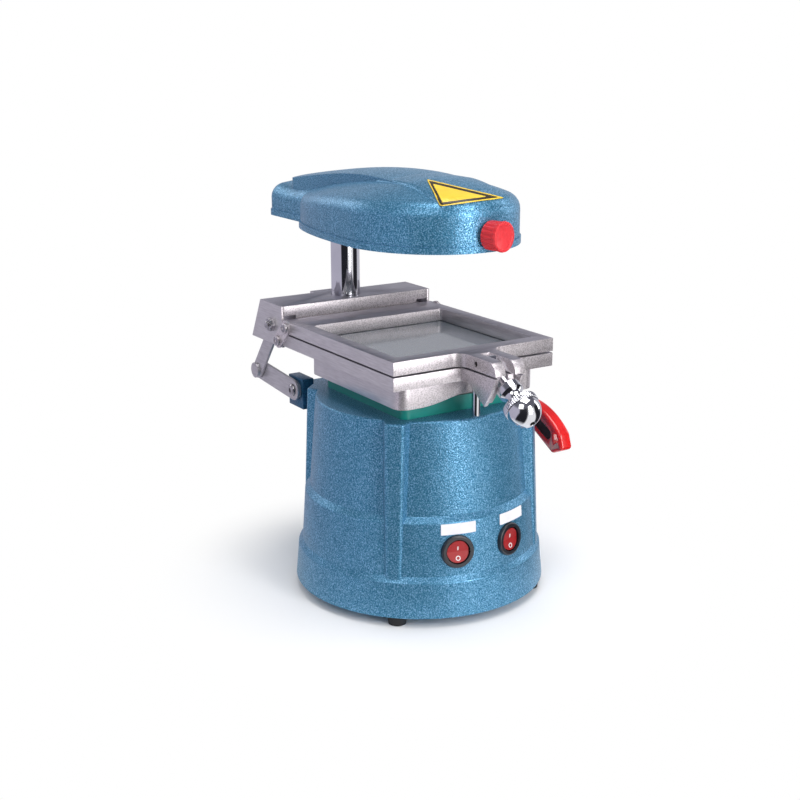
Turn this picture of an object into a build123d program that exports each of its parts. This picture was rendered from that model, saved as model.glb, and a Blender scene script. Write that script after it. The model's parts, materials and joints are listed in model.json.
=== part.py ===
from build123d import *
import math
import os

# Bench-top vacuum forming machine for plastic sheet: a round cast base with a suction platform,
# a sheet clamp that a lever lifts on one chrome column, and a heater head that swings on the column.
# Millimetres, +Z up, front towards -Y, viewer's right is +X.
# Origin: axis of the round base, on the table.

# Base casting
foot_height = 7.5
foot_radius = 7.8
foot_spread_x = 62.0
foot_spread_y = 65.3
foot_taper = 1.0
foot_screw_radius = 2.2
foot_screw_depth = 20.0
base_bottom_radius = 98.9
flange_top_radius = 96.5
flange_top_z = 34.0
band_bottom_radius = 93.3
band_top_radius = 90.6
band_top_z = 79.0
ledge_height = 4.5
upper_bottom_radius = 86.5
base_top_radius = 81.0
base_top_z = 154.5
base_edge = 2.0
ledge_edge = 1.5
bottom_plate_thickness = 1.5
bottom_plate_radius = 78.0

# Corner ribs of the casting
rib_bottom_z = 33.0
rib_reach_top = 89.5
rib_reach_bottom = 95.0
rib_front_width_top = 14.0
rib_front_width_bottom = 11.0
rib_root_top = 74.0
rib_root_bottom = 84.0
rib_root_width_top = 25.0
rib_root_width_bottom = 20.0
rib_corner = 3.5

# Rear pillar of the casting, which holds the column, and the console that holds the lever pivots
column_y = 113.0
column_radius = 12.0
column_socket_z = 60.0
pillar_wall = 9.0
pillar_top_z = 148.0
console_half_width = 51.8
console_front_y = 66.0
console_bottom_z = 130.0
rear_case_half_width = 26.0
rear_case_back_y = 138.0
rear_case_top_z = 60.0
inlet_width = 28.0
inlet_height = 20.0
inlet_depth = 14.0
inlet_z = 34.0

# Clearances
seat_gap = 0.3
running_gap = 0.05
hinge_gap = 0.3

# Frame pair and sheet
frame_half_width = 71.0
frame_front_y = -75.6
frame_back_y = 91.0
lower_bottom_z = 182.2
lower_thickness = 10.2
sheet_thickness = 1.0
upper_thickness = 10.0
window_half_width = 60.8
window_front_y = -63.5
window_back_y = 59.5
window_corner = 3.0
lower_window_half_width = 57.0
lower_window_front_y = -63.5
lower_window_back_y = 61.5
sheet_size = 127.0
clamp_back_chamfer = 3.5
collar_wall = 4.0
collar_height = 17.7
collar_corner = 9.0
collar_arch_rise = 6.0
collar_arch_half_width = 44.0
stop_pin_y = -76.0
stop_pin_radius = 3.2

# Suction platform on its rubber block
gasket_margin = 4.7
gasket_height = 11.5
gasket_corner = 6.0
platform_margin = 2.5
platform_thickness = 5.0
platform_hole_pitch = 26.0
platform_hole_radius = 2.5

# Front boss with the clamp bolt
boss_half_width = 13.0
boss_front_y = -117.0
boss_root = 9.0
boss_lip = 8.0
slot_half_width = 4.2
slot_back_y = -86.0
latch_pin_y = -93.0
latch_pin_z = 198.5
latch_pin_radius = 2.0
latch_angle = 33.6
latch_face = 25.1
latch_boss_bottom = 18.0
latch_face_top = -4.0
latch_seat = 22.8
latch_seat_top = -6.0
latch_seat_bottom = -20.0
knob_channel_half_width = 9.6
knob_channel_end = 40.0
cut_margin = 1.0
eye_radius = 4.6
eye_half_width = 3.8
swing_bolt_radius = 3.5
knob_collar_radius = 9.0
knob_collar_end = 31.5
knob_neck_radius = 7.0
knob_neck_waist = 6.4
knob_neck_start = 33.0
knob_neck_end = 39.5
knob_rim_radius = 13.2
knob_rim_start = 41.0
knob_rim_end = 46.0
knob_rim_edge = 0.8
knob_ball_radius = 12.4
knob_ball_centre = 48.0
knob_hole_radius = 1.6
knob_hole_depth = 3.0

# Carriage block on the column
block_front_y = 93.0
block_back_y = 131.0
block_step_y = 139.0
block_step_x = -20.0
block_top_z = 214.2
cheek_thickness = 2.2
cheek_bottom_y = 148.0
cheek_bottom_z = 180.5
pocket_top_z = 206.0
pocket_inner_x = 58.0
column_top_z = 297.5
column_edge = 1.0
carriage_bolt_head_radius = 5.0
carriage_bolt_head = 6.0

# Lifting linkage, in side view
pivot_one = (87.0, 146.0)
pivot_two = (146.0, 150.5)
pivot_three = (110.0, 197.0)
link_thickness = 2.3
link_half_width = 7.0
lower_link_half_width = 8.5
pivot_block_depth = 24.0
pivot_block_height = 25.0
pivot_block_y = 89.0
pivot_block_z = 143.5
washer_thickness = 1.8
washer_radius = 7.0
pivot_bolt_radius = 3.0
pivot_bolt_head_radius = 5.0
pivot_bolt_head = 2.2
link_pin_head_radius = 6.5
link_pin_head = 2.5
link_pin_radius = 4.5
link_pin_tail = 1.5

# Lever on the right
lever_x = 108.0
lever_thickness = 4.0
lever_shaft_radius = 5.0
lever_half_width = 7.0
lever_tip = (-12.0, 122.0)
grip_width = 12.0
grip_edge = 3.0
grip_top_start = (0.0, 133.0)
grip_top_middle = (-26.0, 127.5)
grip_top_end = (-46.0, 113.5)
grip_tip = (-50.0, 101.5)
grip_bottom_end = (-36.5, 95.5)
grip_bottom_middle = (-20.0, 104.5)
grip_bottom_start = (0.0, 115.0)
grip_recess_place = (-22.5, 115.0)
grip_recess_length = 28.0
grip_recess_width = 9.0
grip_recess_depth = 1.0
grip_recess_turn = 26.0

# Upper frame hinge
clamp_pivot_y = 84.0
ear_screw_y = 97.0
ear_screw_z = 186.0
ear_thickness = 2.0
ear_half_width = 6.0
ear_screw_head_radius = 4.2
ear_screw_head = 2.0
ear_pin_radius = 2.5
ear_pin_depth = 6.0

# Heater head
head_rim_z = 276.0
head_lip = 5.0
head_lip_proud = 1.0
head_height = 60.0
head_hollow = 22.0
head_tail_hollow = 14.0
head_hollow_back_y = 95.0
head_shoulder = 12.0
head_crest = (
    (-95.0, 311.0),
    (-45.0, 320.0),
    (0.0, 322.5),
    (40.0, 319.0),
    (80.0, 312.5),
    (115.0, 306.0),
    (145.0, 303.5),
    (195.0, 302.5),
)
head_crown_width = 75.0
head_crown_drop = 20.0
head_wall = 3.0
head_half_width = 66.5
head_front_y = -84.5
head_back_y = 184.0
dome_centre_y = -9.0
dome_back_reach = 119.0
dome_back_stop = 83.0
tail_half_width = 36.0
tail_corner = 13.0
spine_half_width = 30.0
spine_front_y = -62.0
spine_back_y = 152.0
spine_crest = (
    (-95.0, 309.0),
    (-62.0, 316.6),
    (-20.0, 322.6),
    (26.0, 325.0),
    (68.0, 322.7),
    (103.0, 318.6),
    (152.0, 311.5),
    (195.0, 304.0),
)
spine_back_edge = 7.0
hub_radius = 21.0
heater_y = 0.0
heater_rings = (16.0, 30.0, 44.0)
heater_radius = 50.0
element_radius = 2.5
element_bar = 3.0
reflector_margin = 6.0
reflector_thickness = 1.5
heater_knob_x = 8.0
heater_knob_y = -85.4
heater_knob_z = 285.0
heater_knob_turn = 8.0
heater_knob_radius = 11.0
heater_knob_length = 10.5

# Power inlet in the rear case
inlet_wall = 1.5
inlet_pin_radius = 1.2
inlet_pin_length = 8.0
inlet_pin_places = ((-7.0, -2.0), (0.0, 2.0), (7.0, -2.0))

# Rocker switches on the band of the base
switch_turns = (-15.2, 14.3)
switch_z = 57.0
switch_radius = 12.5
switch_rim = 2.4
switch_edge = 1.0
switch_barrel_radius = 10.6
switch_depth = 12.0
switch_floor = 3.0
rocker_radius = 8.4
rocker_clearance = 0.9
rocker_tilt = 8.0
rocker_bottom = -4.0
rocker_tip = 1.8
rocker_middle = 0.6
latch_pin_inset = 1.0
nose_flat = 0.5

# Derived heights and places
lower_top_z = lower_bottom_z + lower_thickness
sheet_top_z = lower_top_z + sheet_thickness
upper_bottom_z = sheet_top_z + hinge_gap
clamp_pivot_z = upper_bottom_z + upper_thickness / 2
collar_bottom_z = lower_bottom_z - collar_height
collar_half_width = lower_window_half_width + collar_wall
collar_front_y = lower_window_front_y - collar_wall
collar_back_y = lower_window_back_y + collar_wall
gasket_top_z = base_top_z + gasket_height
reflector_z = head_rim_z + head_hollow - reflector_thickness
link_upper_x = frame_half_width - cheek_thickness - hinge_gap
link_lower_x = link_upper_x - link_thickness - hinge_gap
washer_x = link_lower_x - link_thickness
block_face_x = washer_x - washer_thickness
switch_seat = switch_radius**2 / 2 / band_top_radius
knob_plane = Plane(
    origin=(heater_knob_x, heater_knob_y, heater_knob_z),
    x_dir=(math.cos(math.radians(heater_knob_turn)), math.sin(math.radians(heater_knob_turn)), 0),
    z_dir=(math.sin(math.radians(heater_knob_turn)), -math.cos(math.radians(heater_knob_turn)), 0),
)
latch_direction = (-math.cos(math.radians(latch_angle)), -math.sin(math.radians(latch_angle)))


def along_latch(distance, offset=0.0):
    """Point in the side view at a distance down the clamp bolt, moved square to it."""
    return (
        latch_pin_y + latch_direction[0] * distance + latch_direction[1] * offset,
        latch_pin_z + latch_direction[1] * distance - latch_direction[0] * offset,
    )


def side_view(x):
    """Sketch plane square to X: local x is Y and local y is Z."""
    return Plane.YZ.offset(x)


def switch_face(turn, height=0.0):
    """Plane at a height over the sloping band of the base, turned about its axis, Z pointing out."""
    slope = (band_bottom_radius - band_top_radius) / (band_top_z - flange_top_z - ledge_height)
    radius = band_top_radius + (band_top_z - switch_z) * slope
    around = math.radians(turn)
    band_plane = Plane(
        origin=(radius * math.sin(around), -radius * math.cos(around), switch_z),
        x_dir=(math.cos(around), math.sin(around), 0),
        z_dir=(math.sin(around), -math.cos(around), slope),
    )
    return band_plane.offset(height)


def direction_degrees(start, end):
    """Angle in the side view of the line from start to end."""
    return math.degrees(math.atan2(end[1] - start[1], end[0] - start[0]))


def middle(start, end):
    """Point halfway between two points of the side view."""
    return ((start[0] + end[0]) / 2, (start[1] + end[1]) / 2)


os.makedirs("parts", exist_ok=True)

# Base casting: turned drum with two ledges, corner ribs, rear pillar and console
with BuildPart() as base_housing:
    with BuildSketch(Plane.XZ) as drum_profile:
        with BuildLine():
            Polyline(
                (0, foot_height),
                (base_bottom_radius, foot_height),
                (flange_top_radius, flange_top_z),
                (band_bottom_radius, flange_top_z + ledge_height),
                (band_top_radius, band_top_z),
                (upper_bottom_radius, band_top_z + ledge_height),
                (base_top_radius, base_top_z),
                (0, base_top_z),
                close=True,
            )
        make_face()
    revolve(axis=Axis.Z)
    ring_edges = base_housing.edges().filter_by(GeomType.CIRCLE).group_by(Axis.Z)
    fillet(ring_edges[1] + ring_edges[3], ledge_edge)
    for turn in (45, 135, 225, 315):
        with BuildSketch(Plane.XY.offset(rib_bottom_z)) as rib_foot:
            with Locations(Rotation(0, 0, turn)):
                Polygon(
                    (rib_root_bottom, -rib_root_width_bottom / 2),
                    (rib_reach_bottom, -rib_front_width_bottom / 2),
                    (rib_reach_bottom, rib_front_width_bottom / 2),
                    (rib_root_bottom, rib_root_width_bottom / 2),
                    align=None,
                )
            fillet(rib_foot.vertices().sort_by_distance((0, 0))[2:], rib_corner)
        with BuildSketch(Plane.XY.offset(base_top_z)) as rib_head:
            with Locations(Rotation(0, 0, turn)):
                Polygon(
                    (rib_root_top, -rib_root_width_top / 2),
                    (rib_reach_top, -rib_front_width_top / 2),
                    (rib_reach_top, rib_front_width_top / 2),
                    (rib_root_top, rib_root_width_top / 2),
                    align=None,
                )
            fillet(rib_head.vertices().sort_by_distance((0, 0))[2:], rib_corner)
        loft()
    fillet(base_housing.faces().sort_by(Axis.Z)[-1].edges(), base_edge)
    with BuildSketch(Plane.XY.offset(foot_height)):
        with Locations((0, column_y)):
            Circle(column_radius + pillar_wall)
        with Locations((0, column_y / 2 + base_top_radius / 4)):
            Rectangle(2 * (column_radius + pillar_wall), column_y / 2 + base_top_radius / 4)
    extrude(amount=pillar_top_z - foot_height)
    with BuildSketch(Plane.XY.offset(console_bottom_z)):
        with Locations((0, console_front_y)):
            Rectangle(2 * console_half_width, column_y - console_front_y - column_radius,
                      align=(Align.CENTER, Align.MIN))
    extrude(amount=pillar_top_z - console_bottom_z)
    with BuildSketch(Plane.XY.offset(foot_height)):
        with Locations((0, console_front_y)):
            Rectangle(2 * rear_case_half_width, rear_case_back_y - console_front_y,
                      align=(Align.CENTER, Align.MIN))
    extrude(amount=rear_case_top_z - foot_height)
    with BuildSketch(Plane.XY.offset(pillar_top_z)):
        with Locations((0, column_y)):
            Circle(column_radius + running_gap)
    extrude(amount=column_socket_z - pillar_top_z, mode=Mode.SUBTRACT)
    with BuildSketch(Plane.XZ.offset(-rear_case_back_y)):
        with Locations((0, inlet_z)):
            Rectangle(inlet_width, inlet_height)
    extrude(amount=inlet_depth, mode=Mode.SUBTRACT)
    for turn in switch_turns:
        with BuildSketch(switch_face(turn, -switch_seat)):
            Circle(switch_radius + seat_gap)
        extrude(amount=2 * switch_seat, mode=Mode.SUBTRACT)
        with BuildSketch(switch_face(turn, -switch_seat)):
            Circle(switch_barrel_radius + seat_gap)
        extrude(amount=-switch_depth - seat_gap, mode=Mode.SUBTRACT)
    with BuildSketch(Plane.XY.offset(foot_height)):
        Circle(bottom_plate_radius + seat_gap)
    extrude(amount=bottom_plate_thickness, mode=Mode.SUBTRACT)
    with BuildSketch(Plane.XY.offset(foot_height)):
        with GridLocations(2 * foot_spread_x, 2 * foot_spread_y, 2, 2):
            Circle(foot_screw_radius)
    extrude(amount=foot_screw_depth - foot_height, mode=Mode.SUBTRACT)
base_housing.part.label = "base_housing"
export_step(base_housing.part, "parts/base_housing.step")

# Steel plate that closes the base underneath
with BuildPart() as bottom_plate:
    with BuildSketch(Plane.XY.offset(foot_height)):
        Circle(bottom_plate_radius)
    extrude(amount=bottom_plate_thickness)
bottom_plate.part.label = "bottom_plate"
export_step(bottom_plate.part, "parts/bottom_plate.step")

# Four tapered rubber feet
foot_places = {
    "foot_front_left": (-foot_spread_x, -foot_spread_y),
    "foot_front_right": (foot_spread_x, -foot_spread_y),
    "foot_back_left": (-foot_spread_x, foot_spread_y),
    "foot_back_right": (foot_spread_x, foot_spread_y),
}
for foot_name, foot_place in foot_places.items():
    with BuildPart() as foot:
        with BuildSketch(Plane.XY):
            with Locations(foot_place):
                Circle(foot_radius - foot_taper)
        with BuildSketch(Plane.XY.offset(foot_height)):
            with Locations(foot_place):
                Circle(foot_radius)
        loft()
        with BuildSketch(Plane.XY):
            with Locations(foot_place):
                Circle(foot_screw_radius)
        extrude(amount=foot_height, mode=Mode.SUBTRACT)
    foot.part.label = foot_name
    export_step(foot.part, f"parts/{foot_name}.step")

# Round switches: a rim with a barrel, and a rocker that tilts in it
for switch_name, turn in zip(("left", "right"), switch_turns):
    with BuildPart() as switch_bezel:
        with BuildSketch(switch_face(turn, -switch_seat)):
            Circle(switch_radius)
        extrude(amount=switch_rim + switch_seat)
        rim_face = switch_bezel.faces().sort_by(Axis(switch_face(turn).origin, switch_face(turn).z_dir))[-1]
        fillet(rim_face.edges(), switch_edge)
        with BuildSketch(switch_face(turn, -switch_seat)):
            Circle(switch_barrel_radius)
        extrude(amount=-switch_depth)
        with BuildSketch(switch_face(turn, switch_rim)):
            Circle(rocker_radius + rocker_clearance)
        extrude(amount=-switch_rim - switch_seat - switch_depth + switch_floor, mode=Mode.SUBTRACT)
    switch_bezel.part.label = f"switch_bezel_{switch_name}"
    export_step(switch_bezel.part, f"parts/switch_bezel_{switch_name}.step")

    with BuildPart() as rocker:
        pivot_plane = switch_face(turn)
        with BuildSketch(Plane(pivot_plane.origin, x_dir=pivot_plane.y_dir, z_dir=pivot_plane.x_dir)):
            with Locations(Rotation(0, 0, rocker_tilt)):
                with BuildLine():
                    Polyline(
                        (-rocker_radius, rocker_bottom),
                        (rocker_radius, rocker_bottom),
                        (rocker_radius, rocker_tip),
                        (0, rocker_middle),
                        (-rocker_radius, rocker_tip),
                        close=True,
                    )
                make_face()
        extrude(amount=rocker_radius, both=True)
        with BuildSketch(switch_face(turn, -switch_depth)):
            Circle(rocker_radius)
        extrude(amount=2 * switch_depth, mode=Mode.INTERSECT)
    rocker.part.label = f"rocker_{switch_name}"
    export_step(rocker.part, f"parts/rocker_{switch_name}.step")

# Power inlet: a cup with three pins, set in the recess of the rear case
with BuildPart() as power_inlet:
    with BuildSketch(Plane.XZ.offset(-rear_case_back_y)):
        with Locations((0, inlet_z)):
            Rectangle(inlet_width - 2 * seat_gap, inlet_height - 2 * seat_gap)
    extrude(amount=inlet_depth - seat_gap)
    with BuildSketch(Plane.XZ.offset(-rear_case_back_y)):
        with Locations((0, inlet_z)):
            Rectangle(
                inlet_width - 2 * seat_gap - 2 * inlet_wall,
                inlet_height - 2 * seat_gap - 2 * inlet_wall,
            )
    extrude(amount=inlet_depth - seat_gap - inlet_wall, mode=Mode.SUBTRACT)
    with BuildSketch(Plane.XZ.offset(inlet_depth - seat_gap - rear_case_back_y)):
        for pin_place in inlet_pin_places:
            with Locations((pin_place[0], inlet_z + pin_place[1])):
                Circle(inlet_pin_radius)
    extrude(amount=-inlet_wall - inlet_pin_length)
power_inlet.part.label = "power_inlet"
export_step(power_inlet.part, "parts/power_inlet.step")

# Teal rubber block under the suction platform
with BuildPart() as gasket:
    with BuildSketch(Plane.XY.offset(base_top_z)):
        with Locations((0, (lower_window_front_y + lower_window_back_y) / 2)):
            RectangleRounded(
                2 * (lower_window_half_width - gasket_margin),
                lower_window_back_y - lower_window_front_y - 2 * gasket_margin,
                gasket_corner,
            )
    extrude(amount=gasket_height)
gasket.part.label = "gasket"
export_step(gasket.part, "parts/gasket.step")

# Suction platform with its holes
with BuildPart() as platform:
    with BuildSketch(Plane.XY.offset(gasket_top_z)):
        with Locations((0, (lower_window_front_y + lower_window_back_y) / 2)):
            RectangleRounded(
                2 * (lower_window_half_width - gasket_margin - platform_margin),
                lower_window_back_y - lower_window_front_y - 2 * (gasket_margin + platform_margin),
                gasket_corner - platform_margin,
            )
            with GridLocations(platform_hole_pitch, platform_hole_pitch, 4, 3):
                Circle(platform_hole_radius, mode=Mode.SUBTRACT)
    extrude(amount=platform_thickness)
platform.part.label = "platform"
export_step(platform.part, "parts/platform.step")

# Chrome column
with BuildPart() as column:
    with BuildSketch(Plane.XY.offset(column_socket_z)):
        with Locations((0, column_y)):
            Circle(column_radius)
    extrude(amount=column_top_z - column_socket_z)
    chamfer(column.edges().group_by(Axis.Z)[-1], column_edge)
column.part.label = "column"
export_step(column.part, "parts/column.step")

# Front pin that the lowered frame stops on
with BuildPart() as stop_pin:
    with BuildSketch(Plane.XY.offset(base_top_z)):
        with Locations((0, stop_pin_y)):
            Circle(stop_pin_radius)
    extrude(amount=lower_bottom_z - seat_gap - base_top_z)
stop_pin.part.label = "stop_pin"
export_step(stop_pin.part, "parts/stop_pin.step")

# Lower frame: window plate with the front boss, its clamp slot and the channel that frees the knob
with BuildPart() as lower_frame:
    with BuildSketch(Plane.XY.offset(lower_bottom_z)):
        with BuildLine():
            Polyline(
                (0, frame_front_y),
                (frame_half_width, frame_front_y),
                (frame_half_width, block_front_y),
                (-frame_half_width, block_front_y),
                (-frame_half_width, frame_front_y),
                close=True,
            )
        make_face()
        with Locations((0, (lower_window_front_y + lower_window_back_y) / 2)):
            RectangleRounded(
                2 * lower_window_half_width,
                lower_window_back_y - lower_window_front_y,
                collar_corner - collar_wall,
                mode=Mode.SUBTRACT,
            )
    extrude(amount=lower_thickness)
    with BuildSketch(side_view(-boss_half_width)):
        with BuildLine():
            Polyline(
                (frame_front_y, lower_bottom_z),
                (frame_front_y - boss_root, lower_bottom_z),
                along_latch(latch_face - boss_lip, -latch_boss_bottom),
                along_latch(latch_face, -latch_boss_bottom),
                along_latch(latch_face, latch_face_top),
                (boss_front_y, lower_top_z),
                (frame_front_y, lower_top_z),
                close=True,
            )
        make_face()
    extrude(amount=2 * boss_half_width)
    with BuildSketch(Plane.XY.offset(collar_bottom_z)):
        with Locations((0, boss_front_y)):
            Rectangle(2 * slot_half_width, 2 * (slot_back_y - boss_front_y))
    extrude(amount=lower_top_z - collar_bottom_z, mode=Mode.SUBTRACT)
    with BuildSketch(side_view(-knob_channel_half_width)):
        with BuildLine():
            Polyline(
                along_latch(latch_seat, latch_seat_bottom),
                along_latch(latch_seat, latch_seat_top),
                (along_latch(latch_seat, latch_seat_top)[0], lower_top_z + cut_margin),
                (boss_front_y - boss_lip, lower_top_z + cut_margin),
                along_latch(knob_channel_end, latch_seat_bottom),
                close=True,
            )
        make_face()
    extrude(amount=2 * knob_channel_half_width, mode=Mode.SUBTRACT)
lower_frame.part.label = "lower_frame"
export_step(lower_frame.part, "parts/lower_frame.step")

# Skirt under the lower frame, with a raised arch at the front
with BuildPart() as collar:
    with BuildSketch(Plane.XY.offset(collar_bottom_z)):
        with Locations((0, (collar_front_y + collar_back_y) / 2)):
            RectangleRounded(2 * collar_half_width, collar_back_y - collar_front_y, collar_corner)
            RectangleRounded(
                2 * (collar_half_width - collar_wall),
                collar_back_y - collar_front_y - 2 * collar_wall,
                collar_corner - collar_wall,
                mode=Mode.SUBTRACT,
            )
    extrude(amount=collar_height)
    with BuildSketch(Plane.XZ.offset(-collar_front_y - collar_wall - cut_margin)):
        with BuildLine():
            Spline(
                (-collar_arch_half_width, collar_bottom_z),
                (0, collar_bottom_z + collar_arch_rise),
                (collar_arch_half_width, collar_bottom_z),
                tangents=((1, 0), (1, 0)),
            )
            Line((collar_arch_half_width, collar_bottom_z), (-collar_arch_half_width, collar_bottom_z))
        make_face()
    extrude(amount=collar_wall + 2 * cut_margin, mode=Mode.SUBTRACT)
collar.part.label = "collar"
export_step(collar.part, "parts/collar.step")

# Carriage block that slides on the column
with BuildPart() as carriage_block:
    with BuildSketch(Plane.XY.offset(lower_bottom_z)):
        with BuildLine():
            Polyline(
                (-pocket_inner_x, block_front_y),
                (pocket_inner_x, block_front_y),
                (pocket_inner_x, block_back_y),
                (-block_step_x, block_back_y),
                (-block_step_x, block_step_y),
                (block_step_x, block_step_y),
                (block_step_x, block_back_y),
                (-pocket_inner_x, block_back_y),
                close=True,
            )
        make_face()
    extrude(amount=block_top_z - lower_bottom_z)
    with BuildSketch(Plane.XY.offset(pocket_top_z)):
        with Locations((0, block_front_y)):
            Rectangle(
                2 * (frame_half_width - cheek_thickness),
                block_back_y - block_front_y,
                align=(Align.CENTER, Align.MIN),
            )
    extrude(amount=block_top_z - pocket_top_z)
    with BuildSketch(Plane.XY.offset(lower_bottom_z)):
        with Locations((0, column_y)):
            Circle(column_radius + running_gap)
    extrude(amount=block_top_z - lower_bottom_z, mode=Mode.SUBTRACT)
carriage_block.part.label = "carriage_block"
export_step(carriage_block.part, "parts/carriage_block.step")

# Parts that come in pairs, left and right of the carriage
for side_name, side in (("left", -1), ("right", 1)):
    with BuildPart() as cheek:
        with BuildSketch(side_view(side * (frame_half_width - cheek_thickness))):
            with BuildLine():
                Polyline(
                    (block_front_y, cheek_bottom_z),
                    (block_front_y, block_top_z),
                    (block_back_y, block_top_z),
                    (cheek_bottom_y, cheek_bottom_z),
                    close=True,
                )
            make_face()
            with Locations(pivot_three):
                Circle(pivot_bolt_radius + seat_gap, mode=Mode.SUBTRACT)
        extrude(amount=side * cheek_thickness)
    cheek.part.label = f"cheek_{side_name}"
    export_step(cheek.part, f"parts/cheek_{side_name}.step")

    with BuildPart() as carriage_bolt:
        with BuildSketch(side_view(side * frame_half_width)):
            with Locations(pivot_three):
                Circle(carriage_bolt_head_radius)
        extrude(amount=side * carriage_bolt_head)
        with BuildSketch(side_view(side * (link_upper_x - link_thickness - hinge_gap))):
            with Locations(pivot_three):
                Circle(pivot_bolt_radius)
        extrude(amount=side * (cheek_thickness + link_thickness + 2 * hinge_gap))
    carriage_bolt.part.label = f"carriage_bolt_{side_name}"
    export_step(carriage_bolt.part, f"parts/carriage_bolt_{side_name}.step")

    with BuildPart() as link_upper:
        with BuildSketch(side_view(side * link_upper_x)):
            with Locations(middle(pivot_three, pivot_two)):
                SlotCenterToCenter(
                    math.dist(pivot_three, pivot_two),
                    2 * link_half_width,
                    rotation=direction_degrees(pivot_three, pivot_two),
                )
            with Locations(pivot_three):
                Circle(pivot_bolt_radius + running_gap, mode=Mode.SUBTRACT)
        extrude(amount=-side * link_thickness)
        with BuildSketch(side_view(side * link_upper_x)):
            with Locations(pivot_two):
                Circle(link_pin_head_radius)
        extrude(amount=side * link_pin_head)
    link_upper.part.label = f"link_upper_{side_name}"
    export_step(link_upper.part, f"parts/link_upper_{side_name}.step")

    with BuildPart() as link_lower:
        with BuildSketch(side_view(side * link_lower_x)):
            with Locations(middle(pivot_one, pivot_two)):
                SlotCenterToCenter(
                    math.dist(pivot_one, pivot_two),
                    2 * lower_link_half_width,
                    rotation=direction_degrees(pivot_one, pivot_two),
                )
            with Locations(pivot_one):
                Circle(
                    pivot_bolt_radius + running_gap if side < 0 else lever_shaft_radius + running_gap,
                    mode=Mode.SUBTRACT,
                )
        extrude(amount=-side * link_thickness)
        with BuildSketch(side_view(side * washer_x)):
            with Locations(pivot_two):
                Circle(link_pin_radius)
        extrude(amount=-side * link_pin_tail)
    link_lower.part.label = f"link_lower_{side_name}"
    export_step(link_lower.part, f"parts/link_lower_{side_name}.step")

    with BuildPart() as pivot_block:
        with BuildSketch(side_view(side * console_half_width)):
            with Locations((pivot_block_y, pivot_block_z)):
                Rectangle(pivot_block_depth, pivot_block_height)
            with Locations(pivot_one):
                Circle(
                    pivot_bolt_radius + running_gap if side < 0 else lever_shaft_radius + running_gap,
                    mode=Mode.SUBTRACT,
                )
        extrude(amount=side * (block_face_x - console_half_width))
    pivot_block.part.label = f"pivot_block_{side_name}"
    export_step(pivot_block.part, f"parts/pivot_block_{side_name}.step")

    with BuildPart() as ear_link:
        with BuildSketch(side_view(side * frame_half_width)):
            with Locations(middle((clamp_pivot_y, clamp_pivot_z), (ear_screw_y, ear_screw_z))):
                SlotCenterToCenter(
                    math.dist((clamp_pivot_y, clamp_pivot_z), (ear_screw_y, ear_screw_z)),
                    2 * ear_half_width,
                    rotation=direction_degrees((clamp_pivot_y, clamp_pivot_z), (ear_screw_y, ear_screw_z)),
                )
        extrude(amount=side * ear_thickness)
        with BuildSketch(side_view(side * (frame_half_width + ear_thickness))):
            with Locations((clamp_pivot_y, clamp_pivot_z), (ear_screw_y, ear_screw_z)):
                Circle(ear_screw_head_radius)
        extrude(amount=side * ear_screw_head)
        with BuildSketch(side_view(side * (frame_half_width - ear_pin_depth))):
            with Locations((clamp_pivot_y, clamp_pivot_z)):
                Circle(ear_pin_radius)
        extrude(amount=side * ear_pin_depth)
    ear_link.part.label = f"ear_link_{side_name}"
    export_step(ear_link.part, f"parts/ear_link_{side_name}.step")

# Washers and bolt of the left lever pivot
with BuildPart() as pivot_washers:
    with BuildSketch(side_view(-block_face_x)):
        with Locations(pivot_one):
            Circle(washer_radius)
            Circle(pivot_bolt_radius + seat_gap, mode=Mode.SUBTRACT)
    extrude(amount=-washer_thickness + hinge_gap)
pivot_washers.part.label = "pivot_washers"
export_step(pivot_washers.part, "parts/pivot_washers.step")

with BuildPart() as pivot_bolt:
    with BuildSketch(side_view(-console_half_width)):
        with Locations(pivot_one):
            Circle(pivot_bolt_radius)
    extrude(amount=-(link_lower_x + hinge_gap - console_half_width))
    with BuildSketch(side_view(-link_lower_x - hinge_gap)):
        with Locations(pivot_one):
            Circle(pivot_bolt_head_radius)
    extrude(amount=-pivot_bolt_head)
    fillet(pivot_bolt.faces().sort_by(Axis.X)[0].edges(), pivot_bolt_head / 2)
pivot_bolt.part.label = "pivot_bolt"
export_step(pivot_bolt.part, "parts/pivot_bolt.step")

# Lever shaft, arm and red grip on the right
with BuildPart() as lever_shaft:
    with BuildSketch(side_view(console_half_width + seat_gap)):
        with Locations(pivot_one):
            Circle(lever_shaft_radius)
    extrude(amount=lever_x + lever_thickness - console_half_width)
lever_shaft.part.label = "lever_shaft"
export_step(lever_shaft.part, "parts/lever_shaft.step")

with BuildPart() as lever_arm:
    with BuildSketch(side_view(lever_x)):
        with Locations(middle(pivot_one, lever_tip)):
            SlotCenterToCenter(
                math.dist(pivot_one, lever_tip),
                2 * lever_half_width,
                rotation=direction_degrees(lever_tip, pivot_one),
            )
        with Locations(pivot_one):
            Circle(lever_shaft_radius + seat_gap, mode=Mode.SUBTRACT)
    extrude(amount=lever_thickness)
lever_arm.part.label = "lever_arm"
export_step(lever_arm.part, "parts/lever_arm.step")

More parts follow.
